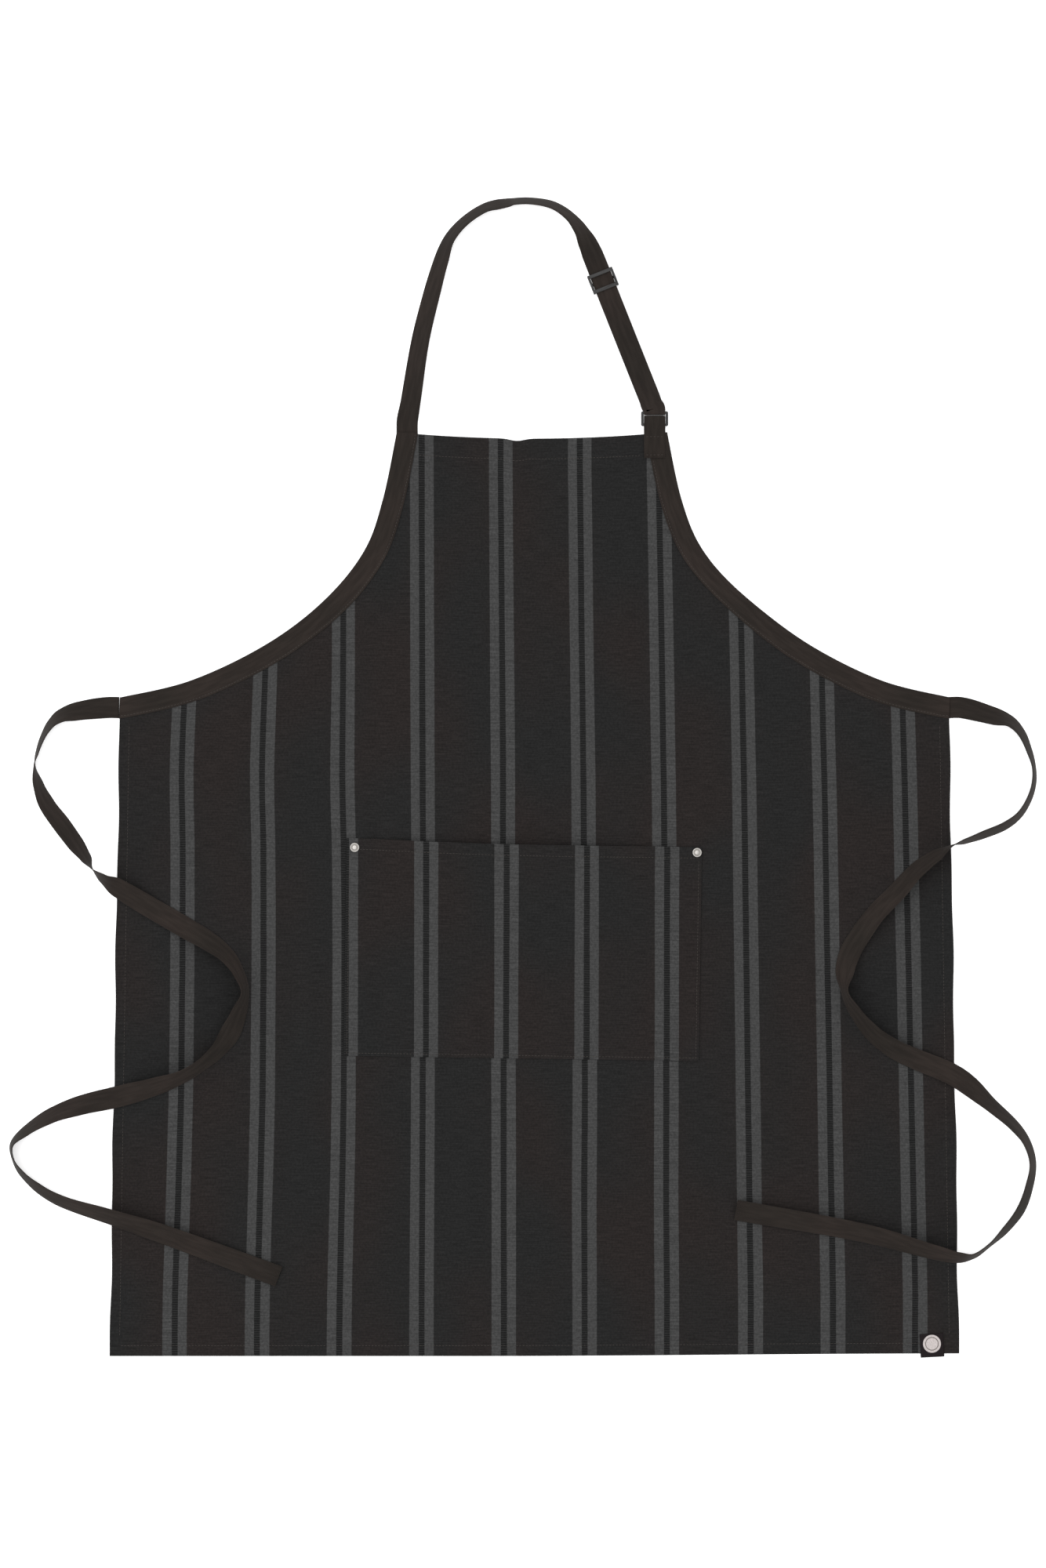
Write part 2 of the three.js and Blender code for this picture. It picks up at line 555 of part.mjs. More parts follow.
function sliderFrame() {
  const inner = TAPE_WIDTH / 2 + SLIDER_SIDE_GAP;
  const top = OUTER_BAR_LOW + SLIDER_BAR_HEIGHT;
  const rails = [-inner - SLIDER_RAIL, inner].map((x) =>
    block(x, -SLIDER_LENGTH / 2, MIDDLE_BAR_LOW, SLIDER_RAIL, SLIDER_LENGTH, top - MIDDLE_BAR_LOW));
  const bars = [-SLIDER_LENGTH / 2, SLIDER_LENGTH / 2 - SLIDER_BAR].map((y) =>
    block(-inner - 0.5, y, OUTER_BAR_LOW, 2 * inner + 1, SLIDER_BAR, SLIDER_BAR_HEIGHT));
  const middle = block(-inner - 0.5, -SLIDER_MIDDLE_BAR / 2, MIDDLE_BAR_LOW,
    2 * inner + 1, SLIDER_MIDDLE_BAR, SLIDER_BAR_HEIGHT);
  return joined(...rails, ...bars, middle);
}
add("slider_frame", sliderFrame(), PLASTIC, slider);

/** The strap's sewn end: a loop round the slider's middle bar, with a tail toward the ring. */
function strapEnd() {
  const inner = SLIDER_MIDDLE_BAR / 2 + CLEARANCE;
  const outer = inner + TAPE;
  const tail = -SLIDER_LENGTH / 2;
  const shape = new THREE.Shape([
    new THREE.Vector2(tail, REST), new THREE.Vector2(outer, REST),
    new THREE.Vector2(outer, LOOP_UPPER_LAYER + TAPE), new THREE.Vector2(-outer, LOOP_UPPER_LAYER + TAPE),
    new THREE.Vector2(-outer, REST + TAPE), new THREE.Vector2(tail, REST + TAPE),
  ]);
  const eye = block(-TAPE_WIDTH, -inner, REST + TAPE, 2 * TAPE_WIDTH, 2 * inner, LOOP_UPPER_LAYER - REST - TAPE);
  return cut(profileAlongX(shape, 0, TAPE_WIDTH), eye);
}
add("strap_end_loop", strapEnd(), TAPE_CLOTH, slider);

// The strap's back layer, from its sewn end to the ring
const returnStart = (SLIDER_AT + SLIDER_LENGTH / 2 + CLEARANCE) / straight.length();
const returnShares = [0, 0.06, 0.5, 0.92, 1].map((t) => THREE.MathUtils.lerp(returnStart, 1, t));
const returnRoute = toRing(returnShares, REST, REST);
returnRoute[returnRoute.length - 1].y = RING_UPPER_EDGE + RING_APPROACH + CLEARANCE;
add("neck_strap_return", tape(returnRoute), TAPE_CLOTH);

// ---- Waist ties ----

/** A tie's route: over the body it lies on the cloth, and past the side edge it comes down to the surface. */
function tieRoute(points, side) {
  const bindingEnd = armhole(TAPE_WIDTH / 2)[ARMHOLE_STEPS];
  return points.map(([out, rise, roll], i) => {
    const x = bindingEnd.x + out;
    const y = bindingEnd.y + rise;
    const past = (x - TAPE_WIDTH - halfWidth(y)) / TIE_STEP_OFF;
    const over = THREE.MathUtils.clamp(1 - past, 0, 1);
    const low = i < 2 ? REST + (1 - i) * TAPE / 2 : THREE.MathUtils.lerp(REST, TIE_OVER_BODY, over);
    return { x: side * x, y, low, roll: -side * roll };
  });
}
add("left_tie", tape(tieRoute(LEFT_TIE, -1)), TAPE_CLOTH);
add("right_tie", tape(tieRoute(RIGHT_TIE, 1)), TAPE_CLOTH);

// ---- Hem label ----

function hemLabel() {
  const profile = new THREE.Shape([
    new THREE.Vector2(LABEL_HEIGHT - LABEL_PROUD, OVER_PANEL),
    new THREE.Vector2(LABEL_HEIGHT - LABEL_PROUD, OVER_PANEL + LABEL_THICK),
    new THREE.Vector2(-LABEL_PROUD, OVER_PANEL + LABEL_THICK), new THREE.Vector2(-LABEL_PROUD, REST),
    new THREE.Vector2(LABEL_THICK - LABEL_PROUD, REST),
    new THREE.Vector2(LABEL_THICK - LABEL_PROUD, OVER_PANEL),
  ]);
  return profileAlongX(profile, 0, LABEL_WIDTH);
}
const label = add("hem_label", hemLabel(), LABEL_CLOTH);
label.position.set(HEM_WIDTH / 2 - LABEL_FROM_SIDE, 0, 0);
label.rotation.z = LABEL_TILT;

// ---- Stitching on the body ----

const threadBlock = (x, y, over, width, length) =>
  block(x, y, over + CLEARANCE, width, length, THREAD);
const labelLeft = HEM_WIDTH / 2 - LABEL_FROM_SIDE - LABEL_WIDTH / 2 - 2;
add("bottom_hem_stitching", threadBlock(-HEM_WIDTH / 2 + SIDE_HEM, BOTTOM_HEM, PANEL_TOP,
  labelLeft + HEM_WIDTH / 2 - SIDE_HEM, THREAD), THREAD_COTTON);
const bibRow = innerAtBib - 1;
const tabLeft = RING_X - TAPE_WIDTH / 2 - 1;
add("bib_hem_stitching", threadBlock(-bibRow, BIB_TOP - BIB_HEM, PANEL_TOP, bibRow + Math.min(bibRow, tabLeft), THREAD),
  THREAD_COTTON);
[-1, 1].forEach((side) => {
  const low = BOTTOM_HEM + 8;
  const high = innerAtSide - 8;
  const x = (y) => halfWidth(y) - SIDE_HEM;
  const row = [
    new THREE.Vector2(side * x(low), low), new THREE.Vector2(side * (x(low) + THREAD), low),
    new THREE.Vector2(side * (x(high) + THREAD), high), new THREE.Vector2(side * x(high), high),
  ];
  const sideName = side < 0 ? "left" : "right";
  add(sideName + "_side_stitching", plate(row, PANEL_TOP + CLEARANCE, PANEL_TOP + CLEARANCE + THREAD), THREAD_COTTON);
  const bindingRow = armholeBand(TAPE_WIDTH - 2, TAPE_WIDTH - 2 + THREAD)
    .map((p) => new THREE.Vector2(side * p.x, p.y));
  const rowEnd = BIB_TOP - (side > 0 ? TAB_LAP + 2 : 1);
  const past = block(-WAIST_WIDTH, rowEnd, 0, 2 * WAIST_WIDTH, ARMHOLE_DEPTH, OVER_RING);
  add(sideName + "_binding_stitching", cut(plate(bindingRow, OVER_BINDING, OVER_BINDING + THREAD), past),
    THREAD_COTTON);
});
add("tab_stitching", threadBlock(RING_X - TAPE_WIDTH / 2 + 2, BIB_TOP - TAB_LAP + 2, OVER_BINDING + TAPE,
  TAPE_WIDTH - 4, THREAD), THREAD_COTTON);

// ---- The part's own frame: origin under the middle of everything but the two loose ties ----

const extent = new THREE.Box3();
part.updateMatrixWorld(true);
const laid = part.children.filter((child) => !child.name.endsWith("_tie"));
laid.forEach((child) => extent.expandByObject(child, true));
const middle = extent.getCenter(new THREE.Vector3());
part.position.set(-middle.x, -middle.y, -extent.min.z);
part.updateMatrixWorld(true);

export default part;
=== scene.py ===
# %% [markdown]
# # A striped bib apron, laid flat
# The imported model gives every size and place: a body panel, bound armholes, a pocket, a neck loop with its
# slider and ring, and two loose waist ties. This lesson builds the cloth, tape, thread and metal that show,
# piece by piece, around those solids. It starts by loading them.

# %% Load the frame
import json
import math
import bmesh
import bpy
import numpy as np
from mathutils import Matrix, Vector
from mathutils.bvhtree import BVHTree


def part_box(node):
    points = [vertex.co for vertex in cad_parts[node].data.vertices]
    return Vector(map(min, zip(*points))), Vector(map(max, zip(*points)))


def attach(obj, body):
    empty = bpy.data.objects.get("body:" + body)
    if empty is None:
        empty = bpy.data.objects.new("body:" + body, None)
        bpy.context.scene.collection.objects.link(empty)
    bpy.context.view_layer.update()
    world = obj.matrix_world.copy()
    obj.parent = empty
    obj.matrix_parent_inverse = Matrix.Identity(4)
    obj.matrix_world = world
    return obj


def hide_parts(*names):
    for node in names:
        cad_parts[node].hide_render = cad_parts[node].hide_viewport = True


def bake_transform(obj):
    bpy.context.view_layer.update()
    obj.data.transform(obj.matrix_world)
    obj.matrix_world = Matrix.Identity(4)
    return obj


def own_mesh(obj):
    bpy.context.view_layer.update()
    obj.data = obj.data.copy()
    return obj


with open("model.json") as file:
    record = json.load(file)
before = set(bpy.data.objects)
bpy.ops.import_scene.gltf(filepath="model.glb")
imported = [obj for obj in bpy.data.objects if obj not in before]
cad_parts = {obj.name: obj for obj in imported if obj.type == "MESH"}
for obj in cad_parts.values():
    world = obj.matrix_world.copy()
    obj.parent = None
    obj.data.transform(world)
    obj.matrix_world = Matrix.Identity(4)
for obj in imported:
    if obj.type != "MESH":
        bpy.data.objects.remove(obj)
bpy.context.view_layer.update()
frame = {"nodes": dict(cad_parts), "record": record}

MM = 0.001

# %% [markdown]
# ## Places read from the solids
# Everything on the apron is measured from a few edges: the hem, the top of the bib, the underarm corners and
# the surface it lies on. Reading them from the solids keeps each made piece where the model says it is.

# %% Driving places
panel_low, panel_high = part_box("body_panel")
HEM_Y = panel_low[1]
BIB_TOP = panel_high[1]
HALF_HEM = panel_high[0]
CLOTH_TOP = panel_high[2]
CLEARANCE = 0.3 * MM
CLOTH = 0.6 * MM
LEAF = 0.6 * MM  # one layer of tape where it is folded round an edge
TAPE = 1.0 * MM  # a closed, stitched tape
TAPE_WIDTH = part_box("ring_tab")[1][0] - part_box("ring_tab")[0][0]
HALF_WAIST, _, BINDING_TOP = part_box("right_armhole_binding")[1]
HALF_BIB = 127 * MM
ARMHOLE_DEPTH = 247 * MM
UNDERARM = BIB_TOP - ARMHOLE_DEPTH
REST = 0.2 * MM  # height of a loose tape's underside over the surface
joints = {j["name"]: j for j in frame["record"]["behaviour"]["joints"]}
FOLD_Y, FOLD_Z = joints["neck_loop_fold"]["pos_m"][1:3]
ring_low, ring_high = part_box("ring")
RING_X = (ring_low[0] + ring_high[0]) / 2
print("tape", round(TAPE_WIDTH / MM, 2), "mm wide; half waist", round(HALF_WAIST / MM, 1), "mm")

# %% [markdown]
# ## Camera
# The apron is seen from straight above, so the camera looks down its own -Z with the bib at the top. A long
# lens from four metres keeps the raised edges of the tape from leaning outwards.

# %% Camera
CAMERA_HEIGHT = 4.0
VIEW_HEIGHT = 1.47  # how much of the surface the lens covers, from beyond the loop to below the hem
SENSOR = 36.0
camera_data = bpy.data.cameras.new("camera")
camera_data.sensor_fit = "VERTICAL"
camera_data.sensor_height = SENSOR
camera_data.lens = SENSOR * CAMERA_HEIGHT / VIEW_HEIGHT
camera = bpy.data.objects.new("camera", camera_data)
camera.location = (-10.3 * MM, -5.5 * MM, CAMERA_HEIGHT)
bpy.context.collection.objects.link(camera)
bpy.context.scene.camera = camera
print("lens", round(camera_data.lens, 1), "mm")

# %% [markdown]
# ## Curves
# Tape, edges and seams all follow smooth curves through a few chosen points. One kind of curve sets its speed
# by the spacing of the points, so that it never overshoots a close pair. The other takes the same time for
# each span, as the solids' own outlines do.

# %% Curves
def hermite(p1, p2, m1, m2, t):
    return ((2 * t**3 - 3 * t**2 + 1) * p1 + (t**3 - 2 * t**2 + t) * m1
            + (3 * t**2 - 2 * t**3) * p2 + (t**3 - t**2) * m2)


def smooth_path(points, per_span):
    """A curve through the points whose speed follows their spacing, with per_span steps between each two."""
    p = np.array(points, float)
    p = np.vstack([2 * p[0] - p[1], p, 2 * p[-1] - p[-2]])
    out = []
    for i in range(len(p) - 3):
        a, b, c, d = p[i:i + 4]
        s0, s1, s2 = [max(math.sqrt(np.linalg.norm(v)), 1e-4) for v in (b - a, c - b, d - c)]
        m1 = ((b - a) / s0 - (c - a) / (s0 + s1) + (c - b) / s1) * s1
        m2 = ((c - b) / s1 - (d - b) / (s1 + s2) + (d - c) / s2) * s1
        out += [hermite(b, c, m1, m2, k / per_span) for k in range(per_span)]
    return np.array(out + [p[-2]])


def even_path(points, per_span, tension, mirror_ends=True):
    """A curve through the points with the same time for each span."""
    p = np.array(points, float)
    first = 2 * p[0] - p[1] if mirror_ends else p[0]
    last = 2 * p[-1] - p[-2] if mirror_ends else p[-1]
    p = np.vstack([first, p, last])
    out = []
    for i in range(len(p) - 3):
        a, b, c, d = p[i:i + 4]
        out += [hermite(b, c, tension * (c - a), tension * (d - b), k / per_span) for k in range(per_span)]
    return np.array(out + [p[-2]])


def unit(v):
    return v / np.maximum(np.linalg.norm(v, axis=-1, keepdims=True), 1e-12)


def smoothstep(low, high, v):
    t = np.clip((v - low) / (high - low), 0, 1)
    return t * t * (3 - 2 * t)


print("a smooth step is", float(smoothstep(0, 1, 0.25)), "a quarter of the way along")

# %% [markdown]
# ## Meshes from points
# A piece is made from lists of points and faces, because cloth and tape are then known point by point. Its
# weave attribute keeps where each point lies on the flat cloth, and later carries the stripes and the twill.

# %% Meshes
def make_piece(name, vertices, faces, weave=None):
    """A smooth mesh object from lists, with an optional weave attribute."""
    mesh = bpy.data.meshes.new(name)
    mesh.from_pydata([tuple(v) for v in vertices], [], [tuple(int(i) for i in f) for f in faces])
    if weave is not None:
        layer = mesh.attributes.new("weave", "FLOAT_VECTOR", "POINT")
        flat = np.zeros((len(mesh.vertices), 3))
        flat[:, :np.shape(weave)[1]] = weave
        layer.data.foreach_set("vector", flat.astype(np.float32).ravel())
    mesh.polygons.foreach_set("use_smooth", [True] * len(mesh.polygons))
    mesh.update()
    piece = bpy.data.objects.new(name, mesh)
    bpy.context.collection.objects.link(piece)
    return piece


def tube_faces(rings, around, first=0):
    """Quads between rings of points, and a cap at each end."""
    faces = []
    for r in range(rings - 1):
        for k in range(around):
            a = first + r * around + k
            b = first + r * around + (k + 1) % around
            faces.append((a, b, b + around, a + around))
    faces.append(tuple(first + k for k in reversed(range(around))))
    faces.append(tuple(first + (rings - 1) * around + k for k in range(around)))
    return faces


def cloth_piece(name, upper, lower, rows, columns, weave):
    """A closed sheet of cloth from the points of its face and its back, given row by row."""
    count = rows * columns
    face = [(r * columns + c, r * columns + c + 1, (r + 1) * columns + c + 1, (r + 1) * columns + c)
            for r in range(rows - 1) for c in range(columns - 1)]
    back = [tuple(count + i for i in reversed(f)) for f in face]
    loop = list(range(columns)) + [r * columns + columns - 1 for r in range(1, rows)]
    loop += [(rows - 1) * columns + c for c in range(columns - 2, -1, -1)]
    loop += [r * columns for r in range(rows - 2, 0, -1)]
    rim = [(a, count + a, count + b, b) for a, b in zip(loop, loop[1:] + loop[:1])]
    return make_piece(name, np.vstack([upper, lower]), face + back + rim, np.vstack([weave, weave]))


def face_outwards(piece):
    """Merges points that fall together and turns every face outwards."""
    mesh = bmesh.new()
    mesh.from_mesh(piece.data)
    bmesh.ops.remove_doubles(mesh, verts=mesh.verts, dist=1e-7)
    bmesh.ops.recalc_face_normals(mesh, faces=mesh.faces)
    mesh.to_mesh(piece.data)
    mesh.free()


print("a tube of 3 rings of 4 points has", len(tube_faces(3, 4)), "faces")

# %% [markdown]
# ## Tape along a route
# A tape can't bend in its own plane: where it turns it has to stand up on edge. So a tape is made from a
# route and a roll at each point of it, and each cross-section is placed square to the route.

# %% Tape
def tape_section(width, thickness):
    """Outline of a stitched tape: flat faces, a faint groove by each edge, and rounded edges."""
    half = width / 2
    across = np.array([-0.97, -0.9, -0.84, -0.78, -0.4, 0, 0.4, 0.78, 0.84, 0.9, 0.97]) * half
    dip = np.array([0.25, 0, 0.16, 0, 0, 0, 0, 0, 0.16, 0, 0.25]) * thickness
    top = [(u, thickness / 2 - d) for u, d in zip(across, dip)]
    bottom = [(u, -v) for u, v in reversed(top)]
    return np.array(top + [(half, 0)] + bottom + [(-half, 0)])[::-1]


def tape_frames(route, per_span=6):
    """Centre, across and face of a tape along a route of (x, y, lower edge, roll in degrees)."""
    route = np.array(route, float)
    centre = np.c_[smooth_path(route[:, :2], per_span), np.zeros(per_span * (len(route) - 1) + 1)]
    lay = even_path(route[:, 2:4], per_span, 0.2)
    along = unit(np.gradient(centre, axis=0))
    left = np.c_[-along[:, 1], along[:, 0], np.zeros(len(along))]
    roll = np.radians(lay[:, 1])[:, None]
    up = np.array([0, 0, 1.0])
    across = left * np.cos(roll) + up * np.sin(roll)
    face = up * np.cos(roll) - left * np.sin(roll)
    centre[:, 2] = lay[:, 0] + (TAPE_WIDTH * np.abs(np.sin(roll)) + TAPE * np.abs(np.cos(roll)))[:, 0] / 2
    return centre, across, face


def tape_piece(name, centre, across, face, width=TAPE_WIDTH, thickness=TAPE):
    section = tape_section(width, thickness)
    vertices = centre[:, None] + across[:, None] * section[None, :, :1] + face[:, None] * section[None, :, 1:]
    step = np.r_[0, np.cumsum(np.linalg.norm(np.diff(centre, axis=0), axis=1))]
    weave = np.stack(np.broadcast_arrays(section[None, :, 0], step[:, None]), axis=-1)
    faces = tube_faces(len(centre), len(section))
    return make_piece(name, vertices.reshape(-1, 3), faces, weave.reshape(-1, 2))


print("the tape's outline has", len(tape_section(TAPE_WIDTH, TAPE)), "points")

# %% [markdown]
# ## Waist ties
# Each tie is the same 20 mm tape, thrown down beside the apron. It leaves the underarm corner flat, stands up
# on edge to turn, crosses back over the cloth, and turns out and in once more. The points are the route's
# own, from the corner outward and upward in millimetres, each with the tape's roll in degrees.

# %% Tie routes
LEFT_TIE = [
    (0.7, 0, 0), (12, 0, 4), (40, -3.6, 28), (55, -8, 49), (64, -15.5, 62), (71.5, -28, 71), (76.5, -42, 76),
    (79, -54, 86), (75.5, -72, 114), (67.5, -91, 134), (54.5, -109, 142), (42, -126, 137), (31, -141, 116),
    (25, -151, 86), (14.5, -160.5, 60), (2, -168.5, 25), (-20, -182, 8), (-64, -207.5, -12), (-84, -219, -28),
    (-101, -232, -47), (-112, -248, -62), (-118, -266, -72), (-112, -286, -46), (-104, -304, -20),
    (-93, -320.5, -44), (-77, -334.5, -55), (-59, -345.5, -50), (-31, -355.5, -28), (4, -365, 4),
    (35, -372, 26), (63, -381.5, 46), (86.5, -395.5, 62), (100.5, -409, 76), (99, -423, 78), (91, -436, 68),
    (72.5, -452, 56), (53, -462.5, 50), (8.5, -476.5, 38), (-41, -493, 20), (-149, -533, 0),
]
RIGHT_TIE = [
    (0.7, 0, 0), (12, 0, 4), (41, -7.6, 30), (57.5, -13, 54), (68, -24, 62), (75, -40, 68),
    (79.5, -56, 74), (79.5, -71, 72), (75, -86, 70), (66, -100.5, 68), (53, -110.5, 65), (34, -118.5, 66),
    (15.5, -125, 74), (3, -129, 90), (-13, -139, 122), (-30, -152, 135), (-48.5, -172.5, 146),
    (-68, -192.5, 150), (-82, -212, 160), (-92, -229, 166), (-97, -245, 150), (-98, -265, 106),
    (-88, -284.5, 122), (-71, -305, 140), (-50.5, -320, 158), (-30, -329.5, 170), (8, -346, 186),
    (42, -374, 230), (61.5, -391.5, 238), (72.5, -406, 244), (78.5, -426, 246), (75.5, -447, 241),
    (67.5, -469.5, 238), (54, -487.5, 242), (38, -503, 254), (23, -513, 250), (9.5, -514.5, 234),
    (-12, -510, 222), (-76.5, -492.5, 205), (-199, -470.5, 190),
]
print("tie routes have", len(LEFT_TIE), "and", len(RIGHT_TIE), "points")

# %% [markdown]
# ### The edges that the ties and bindings start from
# Below the underarm the body's side is straight, and above it the armhole curves in to the bib. The armhole
# is the solids' own outline: shares of the step from bib to waist, and of its depth, from the top down.

# %% Body outline
def side_width(y):
    """Half the body's width at a height y below the underarm."""
    return HALF_HEM + (HALF_WAIST - HALF_HEM) * (y - HEM_Y) / (UNDERARM - HEM_Y)


def armhole(inset, steps=60):
    """The right armhole's edge from the bib down to the underarm, moved into the cloth by inset."""
    shares = [(0, 0), (0.05, 0.25), (0.12, 0.44), (0.26, 0.615), (0.48, 0.794), (0.75, 0.935), (1, 1)]
    points = [(HALF_BIB + a * (HALF_WAIST - HALF_BIB), BIB_TOP - d * ARMHOLE_DEPTH) for a, d in shares]
    fine = even_path(points, 60, 0.5, mirror_ends=False)
    tangent = unit(np.gradient(fine, axis=0))
    moved = fine + inset * np.c_[tangent[:, 1], -tangent[:, 0]]
    length = np.r_[0, np.cumsum(np.linalg.norm(np.diff(fine, axis=0), axis=1))]
    at = np.linspace(0, length[-1], steps + 1)
    moved = np.c_[np.interp(at, length, moved[:, 0]), np.interp(at, length, moved[:, 1])]
    moved[0, 1] = BIB_TOP
    moved[-1, 0] = HALF_WAIST
    return moved


print("half the hem is", round(side_width(HEM_Y) / MM, 1), "mm; the armhole has", len(armhole(0)), "points")

# %% [markdown]
# ### Laying the ties
# A tie rests on the surface outside the apron and steps up where it crosses back over the cloth. It is limp
# and its end is cut bare.

# %% Ties
TIE_OVER_BODY = 2.8 * MM
TIE_STEP_OFF = 6 * MM


def tie_route(points, side):
    root = armhole(TAPE_WIDTH / 2)[-1]
    route = []
    for i, (out, rise, roll) in enumerate(points):
        x, y = root[0] + out * MM, root[1] + rise * MM
        past = (x - TAPE_WIDTH - side_width(y)) / TIE_STEP_OFF
        over = float(np.clip(1 - past, 0, 1))
        low = REST + (1 - i) * TAPE / 2 if i < 2 else REST + (TIE_OVER_BODY - REST) * over
        route.append((side * x, y, low, -side * roll))
    return route


def tie(name, points, side):
    centre, across, face = tape_frames(tie_route(points, side))
    piece = tape_piece(name + "_tape", centre, across, face)
    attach(piece, "apron")
    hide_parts(name)
    return piece


tape_pieces = [tie("left_tie", LEFT_TIE, -1), tie("right_tie", RIGHT_TIE, 1)]

# %% [markdown]
# ## Body panel
# The body is one cut of yarn-dyed canvas, about 0.6 mm thick. Its sides, hem and top are turned under and
# stitched, so those edges are two layers thick and stand a little proud. Laid by hand on a table, the cloth
# isn't flat: it lifts in low swells, its sides waver, and its stripes bow.

# %% Stripes, swells and sides
STRIPE_PITCH = 75.5 * MM
HEMS = {"top": 20 * MM, "side": 10 * MM, "bottom": 11 * MM}


def stripe_share(x, y):
    """Which stripe lies at a point: the warp leans, spreads toward the hem, and bows where it was laid."""
    heights = np.array([-483, -5.5, 288]) * MM
    middle = np.interp(y, heights, np.array([-28.3, -29.0, -31.2]) * MM)
    pitch = np.interp(y, heights, np.array([77.1, 75.3, 74.05]) * MM)
    bow_at = np.array([-520, -480, -420, -360, -300, -180, -120, -60, -20, 0]) * MM
    bow_by = np.array([0, 0.5, 1.6, 2.7, 3.4, 3.2, 2.7, 1.8, 0.4, 0]) * MM
    bow = smoothstep(-60 * MM, -200 * MM, x) * np.interp(y, bow_at, bow_by)
    bow += 2.8 * MM * smoothstep(-140 * MM, -250 * MM, x) * smoothstep(0, 120 * MM, y)
    right = smoothstep(0, 40 * MM, x) * smoothstep(200 * MM, 150 * MM, x)
    bow -= 1.4 * MM * right * smoothstep(-270 * MM, -420 * MM, y)
    return (x - middle - bow) / pitch


def swell(x, y):
    """Low swells of cloth laid by hand: long waves that fade out at the bound and hemmed edges."""
    wave = (0.55 * np.sin(11.3 * x + 3.1 * y + 0.4) * np.sin(6.1 * y - 2.2 * x + 1.1)
            + 0.35 * np.sin(23.7 * x - 8.9 * y + 2.0) * np.sin(14.3 * y + 5.2 * x)
            + 0.18 * np.sin(47.0 * x + 21.0 * y) * np.sin(33.0 * y - 12.0 * x + 0.7))
    return (wave + 0.55) * MM


def cloth_half_width(y):
    """Half the cloth's width: the sides waver below the underarm, and stop inside the binding above it."""
    edge = armhole(LEAF + CLEARANCE, 240)
    below = side_width(y) + 0.5 * MM * np.sin(y * 31) + 0.35 * MM * np.sin(y * 73 + 1)
    above = np.interp(-y, -edge[:, 1], edge[:, 0])
    return np.where(y < UNDERARM, np.minimum(below, HALF_HEM + 1 * MM), above)


print("stripe nearest the middle:", round(float(stripe_share(0, 0)), 2), "of a pitch off")

# %% [markdown]
# ### Where a point comes to lie
# The cloth was squared up only roughly. Its bib leans, its top edge sags, and its right corner is pulled up a
# little, so every point of the squared-up cloth is moved to where it came to lie.

# %% Lean, sag and hems
def bib_sag(x, y):
    """How far the top edge sags: deepest by a small pucker left of the middle."""
    across = np.clip(x / (HALF_BIB - TAPE_WIDTH), -1, 1)
    sag = 4.2 * MM * (1 - across**2) + 2.2 * MM * np.exp(-((x + 14 * MM) / (9 * MM))**2)
    return sag * smoothstep(BIB_TOP - 0.09, BIB_TOP, y)


# Height and sideways shift of the cloth above the waist, in millimetres.
LEAN = [(0, 0), (60, 0.3), (90, 2), (120, 3.2), (155, 3.4), (200, 0.4), (250, -1.5), (300, -1.9), (340, -1.9)]
LEAN_CURVE = even_path(LEAN, 12, 0.5) * MM


def lean(y):
    """Sideways shift of the cloth at a height."""
    return np.interp(y, LEAN_CURVE[:, 0], LEAN_CURVE[:, 1], left=0)


def laid(x, y):
    """Where a point of the squared-up cloth comes to lie."""
    x, y = np.asarray(x, float), np.asarray(y, float)
    hem_lift = 2.4 * MM * smoothstep(-0.05, HALF_HEM, x) * (1 - smoothstep(HEM_Y, HEM_Y + 0.12, y))
    side = 0.8 * MM * smoothstep(0.3, 0.39, x) * (1 - smoothstep(UNDERARM - 0.05, UNDERARM, y))
    return x + lean(y) + side, y + hem_lift - bib_sag(x, y)


def free_rise(x, y, half):
    """1 in the open cloth, falling to 0 near the sides, hem, bound edges and top, and under the pocket."""
    low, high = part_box("pocket_panel")
    into_x = smoothstep(low[0] - 0.03, low[0] + 0.02, x)
    past_x = smoothstep(high[0] - 0.02, high[0] + 0.03, x)
    into_y = smoothstep(low[1] - 0.03, low[1] + 0.02, y)
    past_y = smoothstep(high[1], high[1] + 0.05, y)
    near_pocket = into_x * (1 - past_x) * into_y * (1 - past_y)
    edge = smoothstep(18 * MM, 60 * MM, half - np.abs(x)) * smoothstep(6 * MM, 40 * MM, y - HEM_Y)
    return edge * smoothstep(5 * MM, 60 * MM, BIB_TOP - y) * (1 - near_pocket)


def hem_share(x, y, half):
    """1 where the cloth is doubled."""
    above = y > UNDERARM
    side = np.where(above, 0, smoothstep(-0.6 * MM, 0.6 * MM, HEMS["side"] - (half - np.abs(x))))
    bottom = smoothstep(-0.6 * MM, 0.6 * MM, HEMS["bottom"] - (y - HEM_Y))
    top = smoothstep(-0.6 * MM, 0.6 * MM, HEMS["top"] - (BIB_TOP - y))
    return np.maximum(np.maximum(side, bottom), top)


print("bib's top sags by about", round(float(bib_sag(-14 * MM, BIB_TOP)) / MM, 1), "mm")

# %% [markdown]
# ### The panel as a grid
# The grid's rows run straight across, so its own coordinates can carry the woven stripes. Rows and columns
# come close together at the edges of the hems, where the doubled cloth steps down to one layer.

# %% Body panel
def body_rows():
    rows = [HEM_Y + up * MM for up in (0.2, 5, 10.3, 11, 11.8)]
    rows += list(np.linspace(HEM_Y + 16 * MM, UNDERARM - 4 * MM, 170))
    rows += [y for y in armhole(0, 60)[:, 1] if UNDERARM < y < BIB_TOP - 23 * MM]
    rows += [BIB_TOP - d * MM for d in (22, 20.7, 20, 19.3, 15, 10, 5, 1, 0.4)]
    return np.array(sorted(rows))


